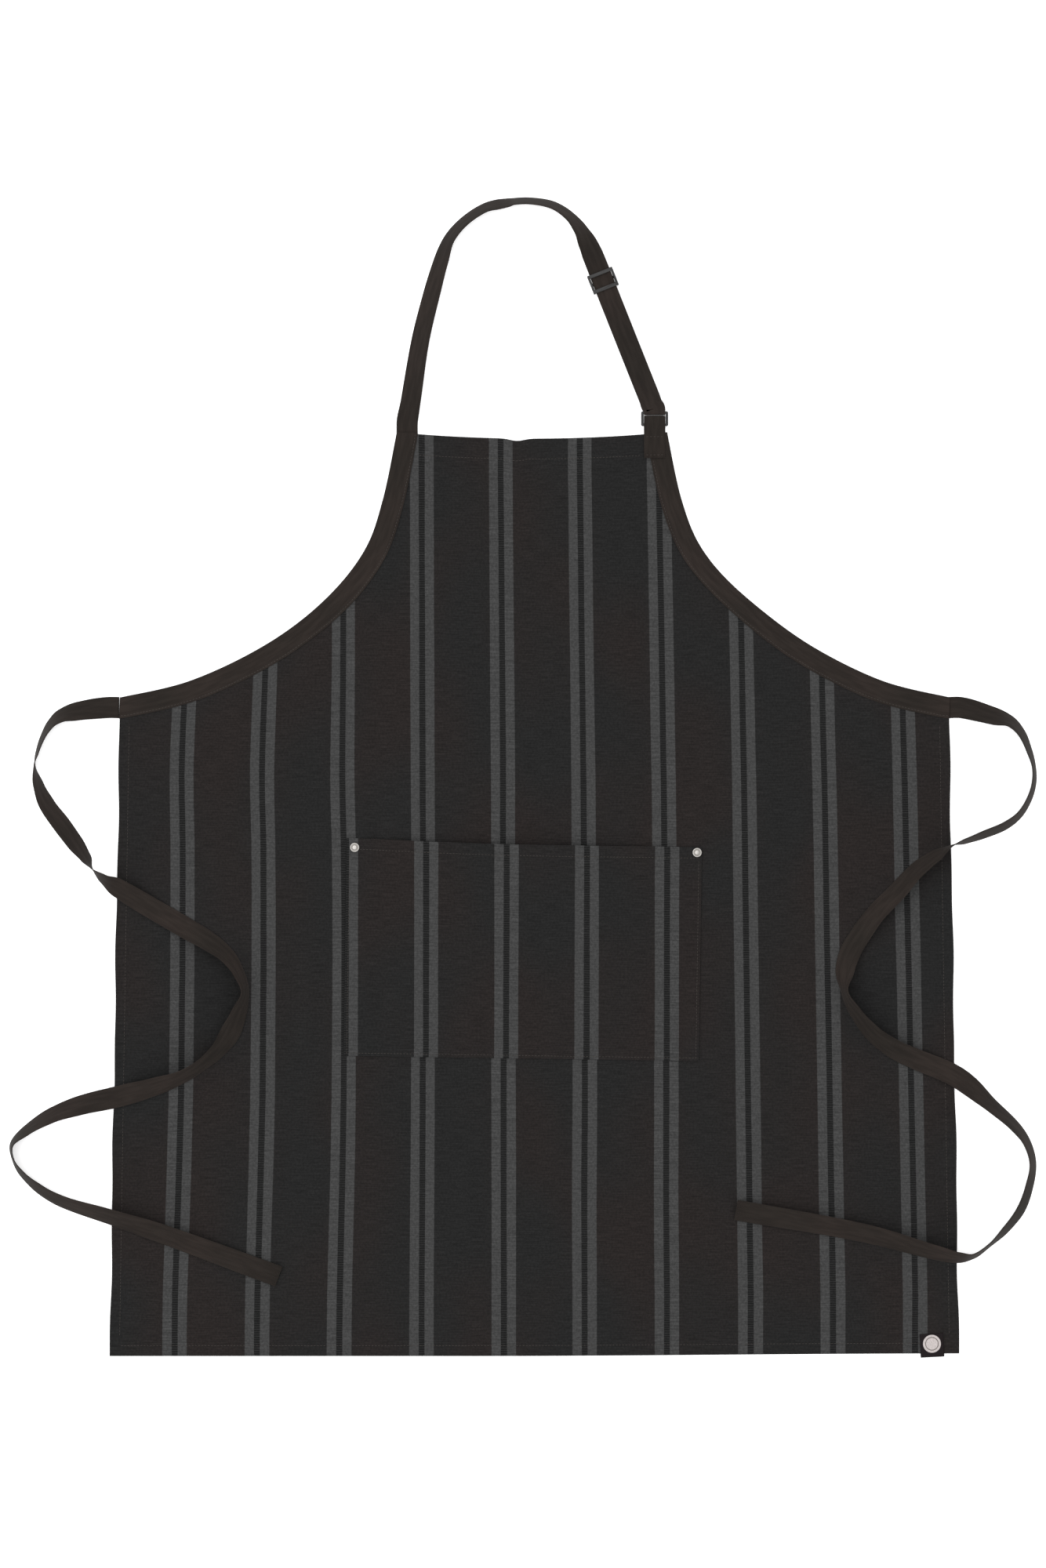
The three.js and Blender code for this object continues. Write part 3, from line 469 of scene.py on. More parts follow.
def body_columns():
    inner = np.linspace(-1, 1, 181)
    near = 1 - np.array([11.2, 10.3, 9.4, 5, 0.3]) * MM / HALF_HEM
    return np.array(sorted(set(np.round(np.r_[inner, near, -near], 5))))


def body_panel():
    rows, columns = body_rows(), body_columns()
    half = cloth_half_width(rows)
    x = half[:, None] * columns[None, :]
    y = np.repeat(rows[:, None], len(columns), axis=1)
    half = np.repeat(half[:, None], len(columns), axis=1)
    rise = free_rise(x, y, half)
    hem = hem_share(x, y, half)
    top = CLOTH_TOP + rise * swell(x, y) + 0.25 * MM * hem * (y < BIB_TOP - 1 * MM)
    low = np.maximum(top - CLOTH - (0.85 * MM) * hem, 0.05 * MM)
    at_x, at_y = laid(x, y)
    weave = np.stack([stripe_share(at_x, y) * STRIPE_PITCH, y], axis=-1).reshape(-1, 2)
    upper = np.stack([at_x, at_y, top], axis=-1).reshape(-1, 3)
    lower = np.stack([at_x, at_y, low], axis=-1).reshape(-1, 3)
    piece = cloth_piece("body_cloth", upper, lower, len(rows), len(columns), weave)
    area = float(np.sum(np.diff(rows) * (half[1:, 0] + half[:-1, 0])))
    return piece, area


body, body_area = body_panel()
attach(body, "apron")
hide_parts("body_panel")
print("body cloth:", len(body.data.vertices), "vertices,", round(body_area, 3), "m2 inside its finished edges")

# %% [markdown]
# ## Pocket
# The pocket is a second piece of the same canvas, lined up so that its stripes nearly follow the body's. Its
# mouth has a doubled hem and stands off the body a little between the two rivets, which throws the thin dark
# line under it. Its sides and bottom are turned under and stitched down.

# %% Pocket
POCKET_WIDTH = 333 * MM
POCKET_HEIGHT = 201 * MM
POCKET_MIDDLE = Vector((-10.5 * MM, HEM_Y + 379.5 * MM, 0))
POCKET_TILT = math.radians(-0.85)
POCKET_HEM = 11.6 * MM
POCKET_GAPE = 6 * MM
POCKET_LOW = CLOTH_TOP + CLEARANCE
MOUTH_FREE = 301 * MM  # how much of the mouth's width lies open between the rivets


def pocket_place(x, y, z):
    """From the pocket's own frame, with its middle at the origin, to the part's."""
    c, s = math.cos(POCKET_TILT), math.sin(POCKET_TILT)
    return np.stack([POCKET_MIDDLE.x + c * x - s * y, POCKET_MIDDLE.y + s * x + c * y, z], axis=-1)


def mouth_sag(x):
    """How far the mouth hangs below a straight line: it is pulled up at the left rivet."""
    return np.interp(x, np.array([-165, -143, -92, -57, -16, 60, 137, 165]) * MM,
                     np.array([-3.2, -3, -1.2, -0.4, 0.4, 0.45, 0.3, 0.6]) * MM)


def pocket_rise(x, y):
    """How far the pocket's back stands off the body: a gape at the mouth, and a low belly."""
    down = np.clip((POCKET_HEIGHT / 2 - y) / POCKET_HEIGHT, 0, 1)
    arch = np.cos(np.pi * np.clip(x / MOUTH_FREE, -0.5, 0.5))
    mouth = POCKET_GAPE * arch * (1 - down)**2
    ripple = 0.5 * MM * (1 + np.sin(38 * x + 0.6)) * (1 - down)**3 * arch
    belly = 0.8 * MM * np.sin(np.pi * down) * np.cos(np.pi * np.clip(x / POCKET_WIDTH, -0.5, 0.5))
    return mouth + ripple + belly


def pocket_panel():
    half, tall = POCKET_WIDTH / 2, POCKET_HEIGHT / 2
    near = np.array([0, 0.5, 2, 8.6, 9.2, 9.8]) * MM
    top_hem = np.array([12.4, 11.6, 10.8, 6, 2, 0.5, 0]) * MM
    columns = np.unique(np.r_[near - half, np.linspace(13 * MM - half, half - 13 * MM, 70), half - near])
    rows = np.unique(np.r_[near - tall, np.linspace(14 * MM - tall, tall - 16 * MM, 44), tall - top_hem])
    x, y = np.meshgrid(columns, rows)
    inside = np.minimum(half - np.abs(x), y + tall)
    hem = np.maximum(smoothstep(-0.5 * MM, 0.5 * MM, 9.2 * MM - inside),
                     smoothstep(-0.5 * MM, 0.5 * MM, POCKET_HEM - (tall - y)))
    edge = np.minimum(inside, tall - y)
    rounded = 0.35 * MM * (1 - smoothstep(0, 0.6 * MM, edge))
    low = POCKET_LOW + pocket_rise(x, y)
    top = low + CLOTH + 0.45 * MM * hem - rounded
    sag = mouth_sag(x) * smoothstep(tall - 0.06, tall - 0.012, y)
    slant = 2.5 * MM * (tall - y) / POCKET_HEIGHT
    across = (x + POCKET_MIDDLE.x + 27.1 * MM - slant) * STRIPE_PITCH / (75.2 * MM)
    weave = np.stack([across, y], axis=-1).reshape(-1, 2)
    upper = pocket_place(x, y - sag, top).reshape(-1, 3)
    lower = pocket_place(x, y - sag, low).reshape(-1, 3)
    return cloth_piece("pocket_cloth", upper, lower, len(rows), len(columns), weave)


pocket = pocket_panel()
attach(pocket, "apron")
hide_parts("pocket_panel")
print("pocket:", [round(v / MM, 1) for v in pocket.dimensions], "mm")

# %% [markdown]
# ## Armhole bindings
# The curved armholes are bound with the same tape as the ties. It is folded in half lengthwise over the raw
# edge, one leaf on the face and one on the back, and sewn through near the inner edge. The section is a
# narrow C swept along the armhole, with a dip where the stitching pulls it down.

# %% Bindings
def binding_section():
    """Inward distance and height round the C, from the face leaf's inner edge to the back leaf's."""
    fold = BINDING_TOP / 2
    outer = [(20, 0.1), (19.4, 0), (18.8, 0), (18, 0.14), (17.2, 0), (12, -0.04), (6, -0.02), (2, 0)]
    outer = [(s * MM, BINDING_TOP - d * MM) for s, d in outer]
    turn = [(fold * (1 - math.sin(a)), fold + fold * math.cos(a)) for a in np.linspace(0.3, math.pi - 0.3, 7)]
    back = [(s * MM, 0.02 * MM) for s in (2, 10, 20)]
    inner = [(20 * MM, LEAF), (1.6 * MM, LEAF), (1.1 * MM, fold), (1.6 * MM, BINDING_TOP - LEAF),
             (20 * MM, BINDING_TOP - LEAF)]
    return outer + turn + back + inner


def binding(name, side):
    edge = armhole(0, 90)
    top = np.array([edge[0] + (0, 1.2 * MM)])
    end = np.array([edge[-1] + (0.9 * MM, 0)])
    line = np.vstack([top, edge, end])
    tangent = unit(np.gradient(edge, axis=0))
    tangent = np.vstack([[(0, -1)], tangent, tangent[-1:]])
    tangent[0:2] = (0, -1)
    tangent[-2:] = (1, 0)
    inward = np.c_[tangent[:, 1], -tangent[:, 0]]
    section = binding_section()
    step = np.r_[0, np.cumsum(np.linalg.norm(np.diff(line, axis=0), axis=1))]
    vertices, weave = [], []
    for point, into, s in zip(line, inward, step):
        for depth, height in section:
            x, y = point + into * depth
            vertices.append((side * x + float(lean(y)), y, height))
            weave.append((depth - TAPE_WIDTH / 2, s))
    faces = tube_faces(len(line), len(section))
    if side < 0:
        faces = [tuple(reversed(f)) for f in faces]
    piece = make_piece(name + "_tape", vertices, faces, weave)
    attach(piece, "apron")
    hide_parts(name)
    print(name, "runs", round(step[-1], 3), "m round the armhole")
    return piece


tape_pieces += [binding("left_armhole_binding", -1), binding("right_armhole_binding", 1)]

# %% [markdown]
# ## Neck strap
# Above the bib the left binding closes into a strap. It rises to the top of the loop standing on edge, lies
# flat again for the slider, runs to the ring, folds round its upper bar and comes back under itself to its
# sewn end on the slider's middle bar.

# %% Neck strap
NECK_ARC = [
    (0.006, 0.135, -18), (0.046, 0.4, -30), (0.089, 0.588, -34), (0.128, 0.735, -42), (0.163, 0.835, -54),
    (0.225, 0.912, -57), (0.31, 0.971, -57), (0.36, 0.985, -54), (0.4, 0.992, -58), (0.43, 0.998, -64),
    (0.495, 1, -64), (0.588, 0.98, -61), (0.655, 0.932, -57), (0.698, 0.876, -46), (0.73, 0.812, -22),
    (0.751, 0.76, -5),
]
LOOP_HEIGHT = 217 * MM
STRAP_LOW = 4.7 * MM
OVER_RING = 4.2 * MM
ROOT_X = -(HALF_BIB - TAPE_WIDTH / 2)
RING_TAIL = ring_high[1] + 1.2 * MM  # where the strap's wrap round the bar meets its own back layer


def loop_point(across, up):
    return np.array([ROOT_X + across * (RING_X - ROOT_X), BIB_TOP + up * LOOP_HEIGHT])


straight_top = loop_point(0.77, 0.71)
straight_end = loop_point(0.96, 0.203)
STRAIGHT = float(np.linalg.norm(straight_end - straight_top))
TO_RING = (straight_end - straight_top) / STRAIGHT


def to_ring(shares, low, low_at_ring):
    """Route down the straight run to the ring, at these shares of it, changing height near the ring."""
    route = [(*(straight_top + t * (straight_end - straight_top)), low, 0) for t in shares]
    slope = TO_RING[0] / TO_RING[1]
    for rise, ease in ((11, 0.0), (6, -0.35)):
        y = ring_high[1] + rise * MM
        low_here = low + (low_at_ring - low) * (0.8 if rise > 8 else 1)
        route.append((straight_end[0] + slope * (y - straight_end[1]) + ease * MM, y, low_here, 0))
    return route + [(RING_X - 0.25 * MM, ring_high[1] + 2.6 * MM, low_at_ring, 0),
                    (RING_X, ring_high[1] + 0.6 * MM, low_at_ring, 0)]


def neck_strap():
    x = ROOT_X + float(lean(BIB_TOP))
    root = [(x, BIB_TOP + 0.3 * MM, 0.7 * MM, 0), (x, BIB_TOP + 3.5 * MM, 0.4 * MM, 0),
            (x, FOLD_Y, REST, 0), (x + 0.2 * MM, FOLD_Y + 4 * MM, REST, 0)]
    arc = [(*loop_point(a, u), REST + max(0, a - 0.5) * 17 * MM, roll) for a, u, roll in NECK_ARC]
    arc[-1] = (*arc[-1][:2], STRAP_LOW, arc[-1][3])
    front = to_ring([0, 0.05, 0.35, 0.65, 0.95, 1], STRAP_LOW, OVER_RING)
    centre, across, face = tape_frames(root + arc + front)
    radius = (OVER_RING - REST) / 2
    bend_y = ring_high[1] - 3.7 * MM + radius + TAPE / 2
    for i in range(13):
        turn = math.pi * (0.5 + i / 12)
        out = np.array([0, math.cos(turn), math.sin(turn)])
        centre = np.vstack([centre, np.array([RING_X, bend_y, REST + TAPE / 2 + radius]) + radius * out])
        across = np.vstack([across, (1, 0, 0)])
        face = np.vstack([face, out])
    centre = np.vstack([centre, (RING_X, RING_TAIL, REST + TAPE / 2)])
    across = np.vstack([across, (1, 0, 0)])
    face = np.vstack([face, (0, 0, -1)])
    piece = tape_piece("neck_strap_tape", centre, across, face)
    print("neck strap is", round(float(np.linalg.norm(np.diff(centre, axis=0), axis=1).sum()), 3), "m long")
    return piece


neck = neck_strap()
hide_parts("neck_strap")
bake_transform(neck)

# %% [markdown]
# ## The strap's back layer
# Behind the straight run lies the strap's own return. It closes up as the slider moves toward the ring, and it
# rides the loop.

# %% Back layer
SLIDER_AT = 12 * MM
SEWN_TAIL = 12.5 * MM  # from the slider's middle bar to the end sewn round it
slider_middle = straight_top + TO_RING * SLIDER_AT
return_start = (SLIDER_AT + SEWN_TAIL + CLEARANCE) / STRAIGHT
route = to_ring([return_start + t * (1 - return_start) for t in (0, 0.03, 0.5, 0.97, 1)], REST, REST)
route = route[:-2] + [(RING_X - 0.3 * MM, ring_high[1] + 3.4 * MM, REST, 0),
                      (RING_X, RING_TAIL + CLEARANCE, REST, 0)]
back_layer = tape_piece("neck_strap_return_tape", *tape_frames(route))
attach(back_layer, "neck_loop")
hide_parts("neck_strap_return")
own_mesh(back_layer)

# %% [markdown]
# ## The sewn end on the slider
# The strap's end goes round the slider's middle bar from below and is sewn down on itself. It is seen edge-on
# as a line of points, and the line is swept across the tape's width in the slider's own turned frame.

# %% Sewn end
slider_turn = math.atan2(TO_RING[0], -TO_RING[1])


def slider_place(x, y, z):
    """From the slider's own frame, whose -Y runs to the ring, to the part's."""
    c, s = math.cos(slider_turn), math.sin(slider_turn)
    return (slider_middle[0] + c * x - s * y, slider_middle[1] + s * x + c * y, z)


def extruded_band(name, line, width, thickness, place):
    """A tape seen edge-on as a line of (along, height) points, made width wide and thickness thick."""
    line = np.array(line, float)
    along = unit(np.gradient(line, axis=0))
    normal = np.c_[-along[:, 1], along[:, 0]]
    section = tape_section(width, thickness)
    step = np.r_[0, np.cumsum(np.linalg.norm(np.diff(line, axis=0), axis=1))]
    vertices, weave = [], []
    for point, n, s in zip(line, normal, step):
        for u, v in section:
            at = point + n * v
            vertices.append(place(u, at[0], at[1]))
            weave.append((u, s))
    return make_piece(name, vertices, tube_faces(len(line), len(section)), weave)


MIDDLE_BAR_LOW = REST + TAPE + CLEARANCE
SLIDER_BAR_HEIGHT = 1.6 * MM
eye = 1.2 * MM + CLEARANCE + TAPE / 2
loop_low, loop_high = REST + TAPE / 2, MIDDLE_BAR_LOW + SLIDER_BAR_HEIGHT + CLEARANCE + TAPE / 2
loop_mid, loop_r = (loop_low + loop_high) / 2, (loop_high - loop_low) / 2
line = [(-SEWN_TAIL, loop_low), (-6 * MM, loop_low)]
line += [(eye - loop_r + loop_r * math.sin(a), loop_mid - loop_r * math.cos(a))
         for a in np.linspace(0, math.pi, 9)]
line += [(-1.6 * MM, loop_high), (-3.2 * MM, loop_high - 0.5 * MM), (-5.5 * MM, loop_low + 1.5 * MM),
         (-8.5 * MM, loop_low + 1.05 * MM)]
strap_end = extruded_band("strap_end_tape", line, TAPE_WIDTH - 0.2 * MM, 0.9 * MM, slider_place)
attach(strap_end, "slider")
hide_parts("strap_end_loop")
print("sewn end:", [round(v / MM, 1) for v in strap_end.dimensions], "mm")

# %% [markdown]
# ## Ring tab
# A short length of the same tape holds the ring to the bib's other corner. It goes up behind the ring's lower
# bar, turns over it, and comes down in front to two rows of stitching on the bib.

# %% Ring tab
fold = FOLD_Y + 8.85 * MM
outer = (OVER_RING + TAPE - REST) / 2
tab_mid = (OVER_RING + TAPE + REST) / 2
tab_r = outer - TAPE / 2
OVER_BINDING = BINDING_TOP + CLEARANCE
under, over, sewn = [low + TAPE / 2 for low in (REST, OVER_RING, OVER_BINDING)]
line = [(BIB_TOP + 0.5 * MM, under), (BIB_TOP + 6 * MM, under)]
line += [(fold - outer + tab_r * math.sin(a), tab_mid - tab_r * math.cos(a))
         for a in np.linspace(0, math.pi, 13)]
line += [(BIB_TOP + rise * MM, height) for rise, height in (
    (8, over), (5, over - 0.05 * MM), (2, sewn + 0.7 * MM), (-1, sewn + 0.05 * MM),
    (-5, sewn), (-15, sewn), (-23, sewn))]
tab = extruded_band("ring_tab_tape", line, TAPE_WIDTH, TAPE, lambda u, v, z: (RING_X + u, v, z))
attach(tab, "apron")
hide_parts("ring_tab")
tape_pieces += [neck, back_layer, strap_end, tab]
print("tab:", [round(v / MM, 1) for v in tab.dimensions], "mm")

# %% [markdown]
# ## Ring and slider
# Both are moulded in black plastic, with square bars whose edges are only just broken. They are closed solids
# already, so their own shapes are copied, their flat faces merged, and every edge given a small round.

# %% Plastic hardware
def moulded(node, body, edge):
    piece = bpy.data.objects[node].copy()
    piece.data = piece.data.copy()
    piece.name = node + "_moulding"
    for key in list(piece.keys()):
        del piece[key]
    piece.parent = None
    piece.matrix_world = bpy.data.objects[node].matrix_world.copy()
    bpy.context.collection.objects.link(piece)
    mesh = bmesh.new()
    mesh.from_mesh(piece.data)
    bmesh.ops.remove_doubles(mesh, verts=mesh.verts, dist=0.02 * MM)
    bmesh.ops.dissolve_limit(mesh, angle_limit=math.radians(4), verts=mesh.verts, edges=mesh.edges)
    sharp = [e for e in mesh.edges if len(e.link_faces) == 2 and e.calc_face_angle() > math.radians(25)]
    bmesh.ops.bevel(mesh, geom=sharp, offset=edge, segments=3, profile=0.5, affect="EDGES",
                    clamp_overlap=True)
    mesh.to_mesh(piece.data)
    mesh.free()
    piece.data.polygons.foreach_set("use_smooth", [True] * len(piece.data.polygons))
    piece.hide_render = False
    piece.hide_viewport = False
    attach(piece, body)
    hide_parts(node)
    return piece


plastic_pieces = [moulded("ring", "neck_loop", 0.35 * MM), moulded("slider_frame", "slider", 0.4 * MM)]
print("plastic:", [[round(v / MM, 1) for v in p.dimensions] for p in plastic_pieces])

# %% [markdown]
# ## Rivets
# A bright tubular rivet holds each top corner of the pocket. Its cap is pressed from sheet: a rolled rim, a
# narrow groove, and a low plain crown. Such pieces are turned shapes, so a profile is spun round an axis.

# %% Rivets
def turned(name, profile, middle, steps=48):
    vertices = [(middle[0] + r * math.cos(a), middle[1] + r * math.sin(a), middle[2] + z)
                for a in np.linspace(0, 2 * math.pi, steps, endpoint=False) for r, z in profile]
    n = len(profile)
    faces = [(s * n + k, ((s + 1) % steps) * n + k, ((s + 1) % steps) * n + k + 1, s * n + k + 1)
             for s in range(steps) for k in range(n - 1)]
    piece = make_piece(name, vertices, faces)
    face_outwards(piece)
    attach(piece, "apron")
    return piece


def profile_mm(*points):
    return [(r * MM, z * MM) for r, z in points]


metal_pieces = []
for side in ("left", "right"):
    low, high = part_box(side + "_rivet_cap")
    middle = ((low[0] + high[0]) / 2, (low[1] + high[1]) / 2, low[2])
    cap = turned(side + "_rivet_crown", profile_mm(
        (0, 0), (4.3, 0), (4.5, 0.2), (4.48, 0.7), (4.2, 1.15), (3.7, 1.35), (3.3, 1.25), (3.0, 0.7),
        (2.75, 0.45), (2.5, 0.7), (2.3, 1.3), (1.9, 1.5), (1.2, 1.58), (0.5, 1.6), (0, 1.6)), middle)
    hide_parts(side + "_rivet_cap")
    post_name = [n for n in frame["nodes"] if n.startswith(side + "_rivet") and not n.endswith("cap")][0]
    low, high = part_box(post_name)
    tall = (high[2] - low[2]) / MM
    post = turned(side + "_rivet_post_turned", profile_mm(
        (0, 0), (3.6, 0), (4.3, 0.12), (4.45, 0.35), (4.2, 0.55), (1.6, 0.6), (1.45, 0.8), (1.45, tall - 0.1),
        (1.35, tall), (0, tall)), ((low[0] + high[0]) / 2, (low[1] + high[1]) / 2, low[2]))
    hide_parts(post_name)
    metal_pieces += [cap, post]
print("rivets:", [p.name for p in metal_pieces])

# %% [markdown]
# ## Hem label
# A small woven label is folded over the lower hem near the right corner and caught in its stitching. Its mark
# is left plain here: a light round patch with a darker ring woven in it.

# %% Hem label
LABEL_WIDTH = 22 * MM
LABEL_PROUD = 2.7 * MM
LABEL_TILT = math.radians(3)
LABEL_MIDDLE = (HALF_HEM - 24.2 * MM, HEM_Y + 2.0 * MM)
OVER_PANEL = CLOTH_TOP + CLEARANCE


def label_place(u, v, z):
    c, s = math.cos(LABEL_TILT), math.sin(LABEL_TILT)
    return (LABEL_MIDDLE[0] + c * u - s * v, LABEL_MIDDLE[1] + s * u + c * v, z)


def hem_label():
    low, high = REST + 0.2 * MM, OVER_PANEL + 0.45 * MM
    mid, radius = (low + high) / 2, (high - low) / 2
    line = [(4 * MM, low), (0.5 * MM, low)]
    line += [(-LABEL_PROUD + radius - radius * math.sin(a), mid - radius * math.cos(a))
             for a in np.linspace(0, math.pi, 9)]
    line += [(y * MM, high + 0.12 * MM * math.sin(y / 3)) for y in np.linspace(0.5, 19.3, 20)]
    line = np.array(line)
    along = unit(np.gradient(line, axis=0))
    normal = np.c_[-along[:, 1], along[:, 0]]
    across = np.linspace(-LABEL_WIDTH / 2, LABEL_WIDTH / 2, 15)
    vertices, weave = [], []
    for side in (0.2 * MM, -0.2 * MM):
        for (v, z), n in zip(line, normal):
            for u in across:
                vertices.append(label_place(u, v + n[0] * side, z + n[1] * side))
                weave.append((u, v))
    count = len(line) * len(across)
    upper, lower = vertices[:count], vertices[count:]
    piece = cloth_piece("hem_label_cloth", upper, lower, len(line), len(across), weave[:count])
    face_outwards(piece)
    return piece


label = hem_label()
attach(label, "apron")
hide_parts("hem_label")
print("label:", [round(v / MM, 1) for v in label.dimensions], "mm")

# %% [markdown]
# ## Stitching
# Lockstitch shows as a row of short beads of thread, each dipping into the cloth at its ends. Eight to nine
# stitches go to the inch, so each is about 2.3 mm long on a 3 mm pitch. Each row is dropped onto the made
# surface below it, so that it follows the swells.

# %% Stitches
STITCH_PITCH = 3.0 * MM
STITCH_LENGTH = 2.3 * MM
THREAD = 0.4 * MM


def surface_tree(*objects):
    mesh = bmesh.new()
    for o in objects:
        mesh.from_mesh(o.data)
    tree = BVHTree.FromBMesh(mesh)
    mesh.free()
    return tree


cloth_surface = surface_tree(body, pocket, label, tab, *tape_pieces[2:4])


def height_at(x, y, fallback):
    hit = cloth_surface.ray_cast(Vector((x, y, 0.05)), Vector((0, 0, -1)))
    return hit[0].z if hit[0] is not None else fallback


def stitch_row(line):
    """Places and directions of stitches along a line of (x, y) points."""
    line = np.array(line, float)
    step = np.r_[0, np.cumsum(np.linalg.norm(np.diff(line, axis=0), axis=1))]
    count = max(1, int(step[-1] / STITCH_PITCH))
    at = (np.arange(count) + 0.5) * step[-1] / count
    x, y = np.interp(at, step, line[:, 0]), np.interp(at, step, line[:, 1])
    ahead = at + 0.2 * MM
    back = at - 0.2 * MM
    dx = np.interp(ahead, step, line[:, 0]) - np.interp(back, step, line[:, 0])
    dy = np.interp(ahead, step, line[:, 1]) - np.interp(back, step, line[:, 1])
    return [((a, b), unit(np.array([c, d]))) for a, b, c, d in zip(x, y, dx, dy)]


def stitches(name, node, rows, fallback):
    vertices, faces = [], []
    profile = [(-0.5, 0.25), (-0.38, 0.8), (-0.15, 1), (0.15, 1), (0.38, 0.8), (0.5, 0.25)]
    for row in rows:
        for (x, y), d in stitch_row(row):
            base = height_at(x, y, fallback)
            first = len(vertices)
            side = np.array([-d[1], d[0]])
            for share, thick in profile:
                cx, cy = np.array([x, y]) + d * share * STITCH_LENGTH
                z = base + 0.06 * MM - 0.35 * MM * (2 * share)**4
                for k in range(6):
                    a = math.pi * k / 3
                    r = THREAD / 2 * thick
                    vertices.append((cx + side[0] * r * math.cos(a), cy + side[1] * r * math.cos(a),
                                     z + r * math.sin(a)))
            faces += tube_faces(len(profile), 6, first=first)
    piece = make_piece(name, vertices, faces)
    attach(piece, "apron")
    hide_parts(node)
    return piece


print("thread is", round(THREAD / MM, 1), "mm thick")

# %% [markdown]
# ### Seam lines
# Each seam is a line of points on its own piece: the body's where it came to lie, the bindings' with the bib's
# lean, and the pocket's in its own turned frame. A height is kept for stitches that no cloth lies under.

# %% Seams
def on_body(points):
    x, y = laid(*np.array(points, float).T)
    return list(zip(x, y))


def on_binding(points):
    return [(x + float(lean(y)), y) for x, y in points]


def pocket_line(points):
    return [tuple(pocket_place(np.array(x), np.array(y), np.array(0.0))[:2]) for x, y in points]


SEAM_IN = 9 * MM  # side seams, in from the edge
POCKET_SEAM_IN = 2.9 * MM
pocket_half, pocket_tall = POCKET_WIDTH / 2 - POCKET_SEAM_IN, POCKET_HEIGHT / 2
bib_y = BIB_TOP - HEMS["top"]
across_bib = np.linspace(1 * MM - (HALF_BIB - TAPE_WIDTH), RING_X - TAPE_WIDTH / 2 - 1 * MM, 60)
label_left = LABEL_MIDDLE[0] - LABEL_WIDTH / 2 - 1 * MM
across_hem = np.linspace(10 * MM - HALF_HEM, label_left, 60)
side_seam = [(side_width(y) - SEAM_IN, y) for y in np.linspace(HEM_Y + 19 * MM, UNDERARM - 27 * MM, 90)]
binding_seam = armhole(18 * MM, 90)
below_tab = [(x, y) for x, y in binding_seam if y < BIB_TOP - 24 * MM]
seam_top, seam_low = pocket_tall - 13 * MM, POCKET_SEAM_IN - pocket_tall
pocket_seam = [(-pocket_half, seam_top), (-pocket_half, seam_low),
               (pocket_half, seam_low), (pocket_half, seam_top)]
mouth_seam = [(x, pocket_tall - 10.4 * MM - mouth_sag(x)) for x in np.linspace(-pocket_half, pocket_half, 80)]
tab_seams = [[(RING_X - 8.5 * MM, y), (RING_X + 8.5 * MM, y)] for y in (bib_y, BIB_TOP - 3 * MM)]
stitch_plan = {
    "bib_hem_stitching": ([on_body([(x, bib_y) for x in across_bib])], CLOTH_TOP),
    "bottom_hem_stitching": ([on_body([(x, HEM_Y + 10 * MM) for x in across_hem])], CLOTH_TOP),
    "left_side_stitching": ([on_body([(-x, y) for x, y in side_seam])], CLOTH_TOP),
    "right_side_stitching": ([on_body(side_seam)], CLOTH_TOP),
    "left_binding_stitching": ([on_binding([(-x, y) for x, y in binding_seam])], BINDING_TOP),
    "right_binding_stitching": ([on_binding(below_tab)], BINDING_TOP),
    "pocket_stitching": ([pocket_line(pocket_seam)], CLOTH_TOP),
    "pocket_hem_stitching": ([pocket_line(mouth_seam)], CLOTH_TOP),
    "tab_stitching": (tab_seams, CLOTH_TOP),
}
stitch_pieces = {node: stitches(node + "_thread", node, rows, z)
                 for node, (rows, z) in stitch_plan.items()}
print("stitches:", {n: len(p.data.vertices) // 36 for n, p in stitch_pieces.items()})

# %% [markdown]
# ## Finishes
# Each finish is built from what the real surface is: yarns, plate or moulded plastic. Colours are written as
# sRGB hex and turned into linear light by one function. Pattern sizes are real sizes in millimetres, read off
# the weave attribute that each cloth piece carries: x across the cloth and y along its warp.

# %% Material helpers
YARN_GLOSS = 0.08


def linear(hex_colour):
    values = [int(hex_colour[i:i + 2], 16) / 255 for i in (1, 3, 5)]
    return tuple(v / 12.92 if v <= 0.04045 else ((v + 0.055) / 1.055)**2.4 for v in values) + (1.0,)


def material(name, colour, roughness, metallic=0.0, ior=None, gloss=0.5):
    """gloss is 0.5 for a smooth face. Yarn shades most of its own highlights, so cloth has much less."""
    made = bpy.data.materials.new(name)
    made.use_nodes = True
    shader = made.node_tree.nodes["Principled BSDF"]
    shader.inputs["Base Color"].default_value = linear(colour)
    shader.inputs["Roughness"].default_value = roughness
    shader.inputs["Metallic"].default_value = metallic
    shader.inputs["Specular IOR Level"].default_value = gloss
    if ior is not None:
        shader.inputs["IOR"].default_value = ior
    return made, shader


def add(made, kind, inputs=None, out=0, **settings):
    """Adds a node, sets its properties, sets or links its inputs, and gives the output asked for."""
    node = made.node_tree.nodes.new(kind)
    for key, value in settings.items():
        setattr(node, key, value)
    for key, value in (inputs or {}).items():
        if isinstance(value, bpy.types.NodeSocket):
            made.node_tree.links.new(value, node.inputs[key])
        else:
            node.inputs[key].default_value = value
    return node.outputs[out]


print("charcoal in linear light:", [round(v, 4) for v in linear("#1b1b1b")[:3]])

# %% [markdown]
# ### Yarn patterns
# Cloth is told apart by its yarns: streaks of noise drawn long one way make slubs and heather, a grey level
# shades them into the colour, and a fine bump raises the threads. A colour mix takes its share at input 0 and
# its two colours at 6 and 7, and gives the result at output 2.

# %% Yarn patterns
MATH, MIX, MAP = "ShaderNodeMath", "ShaderNodeMix", "ShaderNodeMapRange"
COLOURS = {"data_type": "RGBA", "out": 2}
SMOOTH = {"interpolation_type": "SMOOTHSTEP"}
BUMP = 0.12 * MM  # depth of the threads


